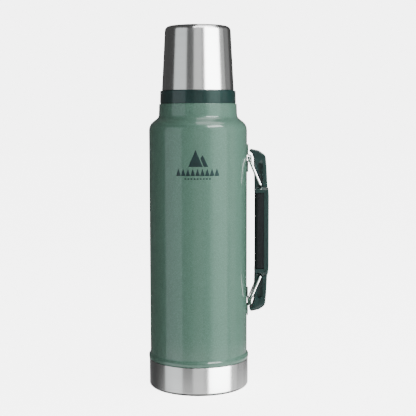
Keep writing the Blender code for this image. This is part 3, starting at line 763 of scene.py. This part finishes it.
class FLASK_OT_vessel(bpy.types.Operator):
    """Model the inner vessel with its threaded mouth, both bottoms, the foil and the vacuum fittings"""

    bl_idname = "flask.vessel"
    bl_label = "Inner vessel"

    def execute(self, context):
        sizes = context.scene.flask_sizes
        mouth = sizes.mouth_radius / MM
        wall = 0.5
        neck = mouth + wall
        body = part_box("inner_bottom")[1].x / MM + 0.8
        lip = 31.0
        corner = 260.25
        slope_top = corner + (body - neck) / math.tan(math.radians(55))
        inset = 0.26
        corners = [
            (body, VESSEL_LOW, 0.1), (body, corner, 12.0), (neck, slope_top, 8.0),
            (neck, LIP_HIGH - wall, 0.2), (lip, LIP_HIGH - wall, 0.15), (lip, LIP_HIGH, 0.2),
            (mouth, LIP_HIGH, 0.3), (mouth, slope_top - inset, 8.5), (body - wall, corner - inset, 11.5),
            (body - wall, VESSEL_LOW, 0.1),
        ]
        vessel = lathe("vessel_steel", corners)
        ridges = thread(mouth, mouth - sizes.thread_height / MM, base=STOPPER_THREAD_BASE + 2.0,
                        first_turn=-0.5, turns=2.25, **STOPPER_THREAD)
        worn = ("flask", "satin_steel", "satin_vessel_steel")
        wear(join([vessel] + ridges), *worn, "inner_vessel")
        flange, low, high = extent("inner_bottom")
        under = [(20.0, 0.4), (34.0, 1.8), (41.0, 4.4), (44.3, 7.8), (flange, 11.4)]
        dish = [(0, low, 0)] + [(r, low + rise, 6.0) for r, rise in under]
        dish += [(flange, high, 0.1), (flange - wall, high, 0.1)]
        dish += [(r - 0.4, low + rise + 0.4, 6.0) for r, rise in reversed(under[1:])]
        dish += [(20.0, low + 0.9, 6.0), (0, low + 0.5, 0)]
        turned("vessel_dish", dish, *worn, "inner_bottom")
        edge, low, high = extent("outer_bottom")
        port = 1.6
        plate = [
            (port, low, 0.1), (5.6, low, 0.8), (7.6, low + 2.0, 0.8), (47.4, low + 2.0, 0.4),
            (edge - 0.6, low + 1.2, 0.2), (edge, low + 1.2, 0.1), (edge, low + 2.2, 0.3), (47.8, high, 0.4),
            (7.4, high, 0.8), (5.4, low + 0.6, 0.8), (port, low + 0.6, 0.1),
        ]
        turned("closing_plate", plate, *worn, "outer_bottom")
        outer, low, high = extent("foil_wrap")
        inner = outer - 0.3
        foil = [(outer, low, 0.05), (outer, high, 0.05), (inner, high, 0.05), (inner, low, 0.05)]
        turned("foil_sleeve", foil, "flask", "reflective_foil", "copper_foil", "foil_wrap")
        outer, low, high = extent("port_seal")
        stem = 1.2
        bead = [
            (0, low, 0), (2.4, low, 0.8), (outer, low + 0.8, 0.6), (outer, low + 1.2, 0.3),
            (stem, low + 1.2, 0.2), (stem, high, 0.5), (0, high, 0),
        ]
        turned("port_bead", bead, "flask", "solder_glass", "solder_glass", "port_seal", SMALL_STEPS)
        low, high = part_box("getter")
        radius = (high.x - low.x) / 2 / MM
        getter = lathe("getter_pill", disc(radius, low.z / MM, high.z / MM, 0.4, 0.4), SMALL_STEPS)
        getter.location.x = (low.x + high.x) / 2
        settle()
        wear(getter, "flask", "satin_steel", "sintered_getter", "getter")
        return {"FINISHED"}


class FLASK_OT_stopper(bpy.types.Operator):
    """Model the stopper: threaded plug, fluted head, foam core and sealing ring"""

    bl_idname = "flask.stopper"
    bl_label = "Stopper"

    def execute(self, context):
        sizes = context.scene.flask_sizes
        plug = sizes.plug_radius / MM
        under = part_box("stopper_gasket")[1].z / MM + 0.3
        bore = 23.2
        floor = PLUG_LOW + 1.8
        corners = [
            (0, PLUG_LOW, 0), (plug, PLUG_LOW, 1.6), (plug, under, 0.4), (STOPPER_RADIUS, under, 0.4),
            (STOPPER_RADIUS, FLANGE_HIGH, 0.3), (bore, FLANGE_HIGH, 0.2), (bore, floor, 0.8), (0, floor, 0),
        ]
        body = lathe("stopper_plug", corners)
        ridges = thread(plug, plug + sizes.thread_height / MM, base=STOPPER_THREAD_BASE, first_turn=0.0,
                        turns=2.25, **STOPPER_THREAD)
        for ridge in ridges:
            cut_with(body, ridge, "UNION")
        deselect()
        bpy.ops.mesh.primitive_cube_add(size=1, location=(-26.8 * MM, 0, (PLUG_LOW + under - 2.2) / 2 * MM))
        channel = bpy.context.object
        channel.scale = (5.0 * MM, 8.0 * MM, (under - PLUG_LOW - 0.2) * MM)
        settle()
        modify(channel, "BEVEL", width=0.8 * MM, segments=4)
        cut_with(body, channel)
        mend(body)
        settle(30)
        wear(body, "stopper", "liner_plastic", "lining_plastic", "stopper_body")
        self.head()
        outer, low, high = extent("stopper_foam")
        core = disc(outer, low, high, 1.0, 0.3)
        turned("stopper_core", core, "stopper", "foam", "insulating_foam", "stopper_foam", 64)
        outer, low, high = extent("stopper_gasket")
        inner = 26.9
        ring = [(inner, low, 0.35), (outer, low, 0.5), (outer, high, 0.35), (inner, high, 0.3)]
        turned("stopper_seal", ring, "stopper_ring", "silicone", "gasket_silicone", "stopper_gasket")
        return {"FINISHED"}

    def head(self):
        """Fluted head with a dished top and a raised pour arrow."""
        radius, low, high = extent("stopper_head")
        skirt = 22.9
        skirt_bore = 21.7
        shelf = FLANGE_HIGH + 0.3
        roof = high - 3.1
        dish = high - 1.4
        corners = [
            (0, roof, 0), (skirt_bore, roof, 1.0), (skirt_bore, low, 0.2), (skirt, low, 0.3),
            (skirt, shelf, 0.3), (radius, shelf, 0.5), (radius, high, 1.8), (24.0, high, 0.8),
            (22.0, dish, 0.8), (0, dish, 0),
        ]
        head = lathe("stopper_knob", corners)
        flutes = 16
        per_flute = LATHE_STEPS // flutes
        bpy.ops.object.mode_set(mode="EDIT")
        for phase in range(1, per_flute // 2 + 1):
            depth = 0.9 * math.sin(math.pi / 2 * phase / (per_flute / 2)) ** 2

            def in_flute(spot, phase=phase):
                step = round(math.atan2(spot.y, spot.x) / math.tau * LATHE_STEPS) % per_flute
                return math.hypot(spot.x, spot.y) > radius - 0.75 and step in (phase, per_flute - phase)

            pick(in_flute)
            shrink = 1 - depth / radius
            bpy.ops.transform.resize(value=(shrink, shrink, 1), center_override=(0, 0, 0))
        deselect()
        bpy.ops.mesh.primitive_cylinder_add(vertices=3, radius=3.6 * MM, depth=0.8 * MM,
                                            location=(-14.0 * MM, 0, (high - 1.2) * MM),
                                            rotation=(0, 0, math.pi / 2))
        arrow = bpy.context.object
        arrow.scale = (0.8, 1.2, 1.0)
        settle()
        modify(arrow, "BEVEL", width=0.3 * MM, segments=3)
        head = join([head, arrow])
        activate(head)
        settle()
        wear(head, "stopper", "green_plastic", "moulded_green", "stopper_head")


def bracket(name, node, middle):
    """A painted strap on the shell with a raised loop round the bail's crossbar."""
    low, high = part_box(node)
    half_width = high.y / MM
    half_height = (high.z - low.z) / 2 / MM
    thickness = 1.0
    back = 50.3
    front = back + thickness
    loop = high.x / MM
    side = [(front, -half_height, 0), (front, -3.6, 0.9), (loop, -2.9, 1.3)]
    line = rounded(side + [(x, -z, r) for x, z, r in reversed(side)], False)
    start_path(name, [(x, z + middle) for x, z in line])
    columns = 8
    bpy.ops.transform.translate(value=(0, -half_width * MM, 0))
    for _ in range(columns):
        extrude(0, 2 * half_width / columns, 0)
    clean()
    for column in range(columns + 1):
        y = -half_width + 2 * half_width * column / columns
        sag = back - math.sqrt(back ** 2 - y ** 2)
        pick(lambda spot, y=y: abs(spot.y - y) < 0.1 and abs(spot.z - middle) > 3.7)
        bpy.ops.transform.translate(value=(-sag * MM, 0, 0))
    pick(lambda spot: abs(abs(spot.y) - half_width) < 0.1 and abs(abs(spot.z - middle) - half_height) < 0.1)
    bpy.ops.mesh.bevel(offset=2.4 * MM, segments=5, affect="VERTICES")
    strap = settle()
    faces_out = sum(face.normal.x * face.area for face in strap.data.polygons) > 0
    modify(strap, "SOLIDIFY", thickness=thickness * MM, offset=-1.0 if faces_out else 1.0,
           use_even_offset=True)
    soften(strap, 0.22, 3, 50)
    activate(strap)
    bpy.ops.object.mode_set(mode="EDIT")
    clean()
    settle(30)
    wear(strap, "flask", "body_paint", "hammertone_paint", node)


class FLASK_OT_brackets(bpy.types.Operator):
    """Model the two painted straps that hold the bails"""

    bl_idname = "flask.brackets"
    bl_label = "Brackets"

    def execute(self, context):
        for side in ("upper", "lower"):
            low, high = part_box(side + "_bracket")
            bracket("bracket_" + side, side + "_bracket", (low.z + high.z) / 2 / MM)
        return {"FINISHED"}


def bail(name, node, pivot, tilt):
    """A wire bail bent from one round wire: pin, leg, crossbar, leg and pin."""
    radius = bpy.context.scene.flask_sizes.wire_radius / MM
    half = WIRE_HALF_WIDTH - radius
    reach = 30.0
    pin_end = 5.4
    leg_start = 7.0
    crossbar_half = 7.2
    legs = [(pin_end, reach, 0), (half, reach, 2.2), (half, leg_start, 5.0), (crossbar_half, 0.0, 2.2)]
    route = rounded(legs + [(-y, z, r) for y, z, r in reversed(legs)], False)
    route = route[:1] + [here for before, here in zip(route, route[1:]) if (here - before).length > 0.05]
    deselect()
    first = route[0]
    bpy.ops.mesh.primitive_circle_add(vertices=20, radius=radius * MM, fill_type="NGON",
                                      location=(0, first.x * MM, first.y * MM), rotation=(math.pi / 2, 0, 0))
    bpy.context.object.name = name
    bpy.ops.object.mode_set(mode="EDIT")
    faced = math.atan2(route[1].y - first.y, route[1].x - first.x)
    steps = [here - before for before, here in zip(route, route[1:])]
    for here, step, onward in zip(route[1:], steps, steps[1:] + steps[-1:]):
        extrude(0, step.x, step.y)
        bisector = step.normalized() + onward.normalized()
        facing = math.atan2(bisector.y, bisector.x)
        swing = (facing - faced + math.pi) % math.tau - math.pi
        bpy.ops.transform.rotate(value=-swing, orient_axis="X",
                                 center_override=(0, here.x * MM, here.y * MM))
        faced = facing
    clean()
    wire = settle()
    soften(wire, 0.35, 3, 60)
    wire.rotation_euler = (0, math.radians(tilt), 0)
    wire.location = pivot
    settle(50)
    wear(wire, node, "wire_steel", "drawn_wire", node)


class FLASK_OT_bails(bpy.types.Operator):
    """Bend the two wire bails that carry the handle"""

    bl_idname = "flask.bails"
    bl_label = "Wire bails"

    def execute(self, context):
        joints = {joint["child"]: joint for joint in frame["joints"]}
        rest = 23.0
        for node, tilt in (("upper_bail", 180 - rest), ("lower_bail", rest)):
            bail(node.replace("_bail", "") + "_wire", node, Vector(joints[node]["pos_m"]), tilt)
        return {"FINISHED"}


class FLASK_OT_handle(bpy.types.Operator):
    """Model the handle's moulded frame with its slots, and the soft grip set into it"""

    bl_idname = "flask.handle"
    bl_label = "Handle"

    # Half width of the ends, front of the insert, and where the ends step out to the insert's width
    end_half_width = 9.2
    pad_front = 66.6
    step_low = 42.2
    waist = 43.3
    step_high = 44.4
    # Middle line of the slots, and the centres of their two rounds above the handle's middle
    slot_x = 62.9
    slot_low = 47.0
    slot_high = 66.8

    def execute(self, context):
        self.frame_piece()
        self.pad_piece()
        return {"FINISHED"}

    def frame_piece(self):
        """Hooked ends and the outer band, in one moulding."""
        middle = HANDLE_MIDDLE
        pad_front = self.pad_front + 0.3
        pad_half = (PAD_HIGH.z - PAD_LOW.z) / 2 / MM + 0.3
        front = FRAME_HIGH.x / MM
        half_length = (FRAME_HIGH.z - FRAME_LOW.z) / 2 / MM
        upper = [
            (front, 0.0, 0), (front - 0.35, 36.0, 20.0), (front - 0.8, 42.6, 2.2), (70.75, 44.6, 2.0),
            (69.7, 66.0, 15.0), (68.6, 77.2, 6.0), (62.5, 81.5, 5.0), (54.0, half_length, 1.9),
            (51.8, 81.0, 1.5), (55.4, 78.6, 1.2), (57.0, 73.4, 3.0), (57.3, 64.0, 6.0), (57.9, 45.0, 8.0),
            (58.0, pad_half, 0.5), (pad_front, pad_half, 0.4), (pad_front, 0.0, 0),
        ]
        rim = rounded(upper, False)
        lower = [Vector((point.x, -point.y)) for point in reversed(rim)]
        outline = [(point.x, point.y + middle) for point in rim[1:-1] + lower[:-1]]
        start_path("handle_frame", outline)
        bpy.ops.mesh.edge_face_add()
        half = self.end_half_width
        bpy.ops.transform.translate(value=(0, -half * MM, 0))
        extrude(0, 2 * half, 0)
        clean(0.02)
        for height in (-self.step_high, -self.step_low, self.step_low, self.step_high):
            bpy.ops.mesh.select_all(action="SELECT")
            bpy.ops.mesh.bisect(plane_co=(0, 0, (middle + height) * MM), plane_no=(0, 0, 1))
        widen = PAD_HIGH.y / MM / half
        pick(lambda spot: abs(spot.z - middle) < self.waist)
        bpy.ops.transform.resize(value=(1, widen, 1), center_override=(0, 0, middle * MM))
        pick_edges(lambda a, b: abs(abs(a.y) - abs(b.y)) < 3 and a.y * b.y > 0 and self.on_rim(a, b, middle))
        bpy.ops.mesh.bevel(offset=1.5 * MM, segments=6, affect="EDGES", clamp_overlap=False)
        moulding = settle()
        mend(moulding, 0.03)
        cut_with(moulding, self.slot_cutter())
        mend(moulding, 0.03)
        soften(moulding, 0.3, 2, 55)
        mend(moulding)
        settle(35)
        wear(moulding, "handle", "green_plastic", "moulded_green", "handle_spine")

    def on_rim(self, a, b, middle):
        """Whether an edge lies on a side face's outline, away from the insert and the cuts across it."""
        near_waist = abs(abs(a.z - middle) - self.waist) < 2.0
        across = near_waist and abs(a.z - b.z) < 0.02 and abs(a.x - b.x) > 4
        outer = all(spot.x > 69 or abs(spot.z - middle) > 44.6 for spot in (a, b))
        return outer and not across

    def slot_cutter(self):
        """Stadium-shaped cutters for the slots in both sides of both ends, as one object."""
        cutters = []
        radius = 2.8
        floor = 4.9
        for end in (-1, 1):
            for side in (-1, 1):
                deselect()
                centre = HANDLE_MIDDLE + end * self.slot_low
                bpy.ops.mesh.primitive_cylinder_add(
                    vertices=32, radius=radius * MM, depth=8 * MM, rotation=(math.pi / 2, 0, 0),
                    location=(self.slot_x * MM, side * (floor + 4) * MM, centre * MM))
                bpy.ops.object.mode_set(mode="EDIT")
                pick(lambda spot: (spot.z - centre) * end > 0.01)
                bpy.ops.transform.translate(value=(0, 0, end * (self.slot_high - self.slot_low) * MM))
                cutters.append(settle())
        return join(cutters)

    def pad_piece(self):
        """Soft insert, rounded where the fingers go."""
        high = Vector((self.pad_front * MM, PAD_HIGH.y, PAD_HIGH.z))
        deselect()
        bpy.ops.mesh.primitive_cube_add(size=1, location=(PAD_LOW + high) / 2, scale=high - PAD_LOW)
        bpy.context.object.name = "handle_pad"
        bpy.ops.object.mode_set(mode="EDIT")
        pick_edges(lambda a, b: abs(a.z - b.z) > 20 and a.x < self.pad_front - 1)
        bpy.ops.mesh.bevel(offset=3.2 * MM, segments=8, affect="EDGES")
        pick_edges(lambda a, b: abs(a.z - b.z) < 0.01)
        bpy.ops.mesh.bevel(offset=0.6 * MM, segments=4, affect="EDGES")
        clean()
        pad = settle(35)
        wear(pad, "handle", "grip_plastic", "grip_insert", "handle_grip")


class FLASK_OT_mark(bpy.types.Operator):
    """Print a plain mark on the front: two peaks over a row of triangles and a row of dashes"""

    bl_idname = "flask.mark"
    bl_label = "Printed mark"

    def execute(self, context):
        shapes = [
            self.shape([(-9.0, 228.6), (5.0, 228.6), (-2.0, 245.4)]),
            self.shape([(6.0, 228.6), (10.4, 228.6), (5.0, 240.2), (2.7, 236.6)]),
        ]
        for place in range(-4, 5):
            middle = place * 4.7
            shapes.append(self.shape([(middle - 2.3, 219.8), (middle + 2.3, 219.8), (middle, 227.0)]))
            middle = place * 3.0
            shapes.append(self.shape([(middle - 0.9, 216.2), (middle + 0.9, 216.2), (middle + 0.9, 217.5),
                                      (middle - 0.9, 217.5)]))
        mark = join(shapes)
        mark.name = "front_mark"
        wear(mark, "flask", "green_plastic", "printed_ink")
        return {"FINISHED"}

    def shape(self, corners):
        """A convex shape, with (x, height) corners run round leftwards, printed on the shell."""
        left = min(x for x, z in corners)
        right = max(x for x, z in corners)
        low = min(z for x, z in corners)
        high = max(z for x, z in corners)
        front = -bpy.context.scene.flask_sizes.body_radius - 2 * MM
        deselect()
        bpy.ops.mesh.primitive_grid_add(
            x_subdivisions=max(4, round(right - left)), y_subdivisions=max(3, round(high - low)), size=1,
            location=((left + right) / 2 * MM, front, (low + high) / 2 * MM), rotation=(math.pi / 2, 0, 0))
        bpy.ops.object.mode_set(mode="EDIT")
        bpy.ops.transform.resize(value=((right - left) * MM, 1, (high - low) * MM))
        for (x, z), (next_x, next_z) in zip(corners, corners[1:] + corners[:1]):
            outward = Vector((next_z - z, 0, x - next_x)).normalized()
            bpy.ops.mesh.select_all(action="SELECT")
            bpy.ops.mesh.bisect(plane_co=(x * MM, 0, z * MM), plane_no=outward, clear_outer=True)
        printed = settle()
        modify(printed, "SHRINKWRAP", target=bpy.data.objects["shell_painted"], wrap_method="PROJECT",
               use_project_y=True, use_project_x=False, use_project_z=False, use_negative_direction=True,
               use_positive_direction=True, offset=0.04 * MM)
        modify(printed, "SOLIDIFY", thickness=0.05 * MM, offset=0.0)
        return printed


# ---------------------------------------------------------------- studio


def soft_box(name, azimuth, distance, width, span, strength, shine, steel_shine, tint=(1, 1, 1)):
    """A soft box at an azimuth from the front, facing the flask between two heights.

    One lamp lights the flask with a strength. The other two are seen only in gloss, each with a brightness:
    one by every piece, and one by the steel pieces alone, which are to shine more than the paint.
    """
    turn = math.radians(azimuth)
    tall = span[1] - span[0]
    away = Vector((math.sin(turn), -math.cos(turn), 0))
    per_shine = math.pi * width * tall
    lamps = (
        ("light", strength, 0.05),
        ("shine", shine * per_shine, 0.0),
        ("steel", steel_shine * per_shine, -0.05),
    )
    for part, energy, back in lamps:
        if not energy:
            continue
        place = away * (distance + back) + Vector((0, 0, (span[0] + span[1]) / 2))
        bpy.ops.object.light_add(type="AREA", location=place, rotation=(math.pi / 2, 0, turn))
        lamp = bpy.context.object
        lamp.name = name + "_" + part
        lamp.data.shape = "RECTANGLE"
        lamp.data.size = width
        lamp.data.size_y = tall
        lamp.data.energy = energy
        lamp.data.color = tint
        lamp.visible_camera = False
        lamp.visible_glossy = part != "light"
        lamp.visible_diffuse = part == "light"
        if part == "steel":
            lamp.light_linking.receiver_collection = steel_pieces()


def steel_pieces():
    """The bright steel pieces as a collection, for the lamps that only they reflect."""
    found = bpy.data.collections.get("steel_pieces")
    if found:
        return found
    made = bpy.data.collections.new("steel_pieces")
    for name in ("cup_steel", "foot_steel", "upper_wire", "lower_wire"):
        made.objects.link(bpy.data.objects[name])
    return made


class FLASK_OT_studio(bpy.types.Operator):
    """Set the pale table, the soft boxes and the camera"""

    bl_idname = "flask.studio"
    bl_label = "Studio"

    def execute(self, context):
        settings = context.scene.flask_studio
        self.table(settings)
        # Name, azimuth, distance, width, heights, strength, shine, shine on steel and tint
        walls = (-0.45, 0.95)
        soft_box("key_box", 50, 1.25, 1.20, walls, settings.key, 0.0, 15.0)
        soft_box("sheen_box", 50, 1.25, 1.04, walls, 0.0, 0.7, 0.0, (0.70, 1.0, 0.90))
        soft_box("inner_sheen_box", 49, 1.35, 0.66, walls, 0.0, 0.65, 0.0, (0.70, 1.0, 0.90))
        soft_box("line_box", 66, 1.15, 0.06, walls, 0.0, 1.0, 0.0)
        soft_box("fill_box", -59, 1.25, 1.01, walls, settings.fill, 0.85, 0.0, (0.84, 0.94, 1.0))
        soft_box("steel_fill_box", -59, 1.15, 0.93, walls, 0.0, 0.0, 0.42, (1.0, 0.93, 0.85))
        soft_box("front_box", 0, 1.45, 0.62, walls, settings.front, 0.20, 0.80)
        soft_box("dim_box", -24.5, 1.35, 0.50, walls, 0.0, 0.0, 0.08)
        soft_box("slit_box", 17, 1.45, 0.26, walls, 0.0, 0.0, 0.34)
        soft_box("side_box", 88, 1.25, 0.44, walls, settings.side, 0.3, 0.42)
        soft_box("edge_box", 114, 1.25, 0.54, walls, 0.0, 0.0, 0.24)
        soft_box("glint_box", 48, 0.8, 0.62, (0.80, 1.30), 0.0, 12.0, 0.0)
        soft_box("cup_top_box", 12, 0.9, 0.90, (0.95, 1.55), 0.0, 0.0, 9.0)
        deselect()
        bpy.ops.object.light_add(type="AREA", location=(0.40, -0.1, 1.5))
        overhead = context.object
        overhead.name = "top_box"
        overhead.data.size = 0.9
        overhead.data.energy = settings.top
        overhead.visible_camera = False
        self.world(settings.backdrop)
        self.camera(context)
        return {"FINISHED"}

    def table(self, settings):
        """A pale round table, as bright as the surroundings behind it."""
        deselect()
        bpy.ops.mesh.primitive_circle_add(vertices=96, radius=6, fill_type="NGON",
                                          location=(0, 0, FOOT_LOW * MM))
        table = bpy.context.object
        table.name = "table"
        settle()
        surface, tree, shader = shader_of("table_top", Roughness=0.75, Specular_IOR_Level=0.2)
        grain = spread(tree, noise(tree, stretched(tree, (1, 1, 1)), 30.0, 2.0), 0.3, 0.7)
        toned = blend_colours(tree, grain, opaque(settings.floor), opaque(settings.floor, 0.97))
        tree.links.new(toned, shader.inputs["Base Color"])
        ray = add(tree, "ShaderNodeLightPath")
        glow = calculate(tree, "MULTIPLY", ray.outputs["Is Camera Ray"], settings.backdrop)
        shader.inputs["Emission Color"].default_value = (1, 1, 1, 1)
        tree.links.new(glow, shader.inputs["Emission Strength"])
        table.data.materials.append(surface)
        table.visible_glossy = False

    def world(self, brightness):
        """Pale surroundings behind the flask. For its reflections they are dim, but brighter low down."""
        sky = bpy.data.worlds.new("studio_room")
        bpy.context.scene.world = sky
        sky.use_nodes = True
        tree = sky.node_tree
        tree.nodes.clear()
        way = add(tree, "ShaderNodeTexCoord")
        parts = add(tree, "ShaderNodeSeparateXYZ", Vector=way.outputs["Generated"])
        # Bright between two low directions, as the table would be, and less so on the left
        below = spread(tree, parts.outputs["Z"], -0.228, -0.262)
        contact = spread(tree, parts.outputs["Z"], -0.62, -0.42)
        under = calculate(tree, "MULTIPLY", below, contact)
        sideways = add(tree, "ShaderNodeVectorMath", {"operation": "DOT_PRODUCT"})
        feed(tree, sideways.inputs[0], way.outputs["Generated"])
        feed(tree, sideways.inputs[1], (0.8, -0.6, 0.0))
        right = spread(tree, sideways.outputs["Value"], -0.95, -0.35)
        floor = calculate(tree, "MULTIPLY", under, right)
        lit = spread(tree, floor, 0.0, 1.0, 0.10, 1.5)
        dim = add(tree, "ShaderNodeBackground", Color=(1, 1, 1, 1), Strength=lit)
        pale = add(tree, "ShaderNodeBackground", Color=(1, 1, 1, 1), Strength=brightness)
        ray = add(tree, "ShaderNodeLightPath")
        choice = tree.nodes.new("ShaderNodeMixShader")
        tree.links.new(ray.outputs["Is Camera Ray"], choice.inputs[0])
        tree.links.new(dim.outputs[0], choice.inputs[1])
        tree.links.new(pale.outputs[0], choice.inputs[2])
        tree.links.new(choice.outputs[0], add(tree, "ShaderNodeOutputWorld").inputs[0])

    def camera(self, context):
        """A long lens about a metre away, a little above the middle and tipped down."""
        deselect()
        tip_down = math.radians(5.5)
        roll = math.radians(0.12)
        bpy.ops.object.camera_add(location=(0.0102, -1.0, 0.280), rotation=(math.pi / 2 - tip_down, roll, 0))
        camera = context.object
        camera.data.lens = 84.6
        camera.data.sensor_width = 36.0
        context.scene.camera = camera


# ---------------------------------------------------------------- add-on


PIECES = (
    FLASK_OT_shell, FLASK_OT_foot, FLASK_OT_collar, FLASK_OT_cup, FLASK_OT_vessel, FLASK_OT_stopper,
    FLASK_OT_brackets, FLASK_OT_bails, FLASK_OT_handle, FLASK_OT_mark,
)


class FLASK_PT_panel(bpy.types.Panel):
    """Buttons and settings for the flask's looks"""

    bl_idname = "FLASK_PT_panel"
    bl_label = "Vacuum flask"
    bl_space_type = "VIEW_3D"
    bl_region_type = "UI"
    bl_category = "Flask"

    def draw(self, context):
        layout = self.layout
        for piece in PIECES + (FLASK_OT_studio,):
            layout.operator(piece.bl_idname)
        for settings in (context.scene.flask_sizes, context.scene.flask_finishes, context.scene.flask_studio):
            box = layout.box()
            for key in settings.bl_rna.properties.keys():
                if key not in ("rna_type", "name"):
                    box.prop(settings, key)


CLASSES = (FlaskSizes, FlaskFinishes, StudioSettings) + PIECES + (FLASK_OT_studio, FLASK_PT_panel)


def register():
    """Add the classes and their settings to Blender."""
    for item in CLASSES:
        bpy.utils.register_class(item)
    bpy.types.Scene.flask_sizes = PointerProperty(type=FlaskSizes)
    bpy.types.Scene.flask_finishes = PointerProperty(type=FlaskFinishes)
    bpy.types.Scene.flask_studio = PointerProperty(type=StudioSettings)


def unregister():
    """Take the classes and their settings out of Blender."""
    del bpy.types.Scene.flask_sizes
    del bpy.types.Scene.flask_finishes
    del bpy.types.Scene.flask_studio
    for item in reversed(CLASSES):
        bpy.utils.unregister_class(item)


def main():
    """Make every piece and the stage."""
    register()
    bpy.ops.flask.shell()
    bpy.ops.flask.foot()
    bpy.ops.flask.collar()
    bpy.ops.flask.cup()
    bpy.ops.flask.vessel()
    bpy.ops.flask.stopper()
    bpy.ops.flask.brackets()
    bpy.ops.flask.bails()
    bpy.ops.flask.handle()
    bpy.ops.flask.mark()
    bpy.ops.flask.studio()


if __name__ == "__main__":
    main()
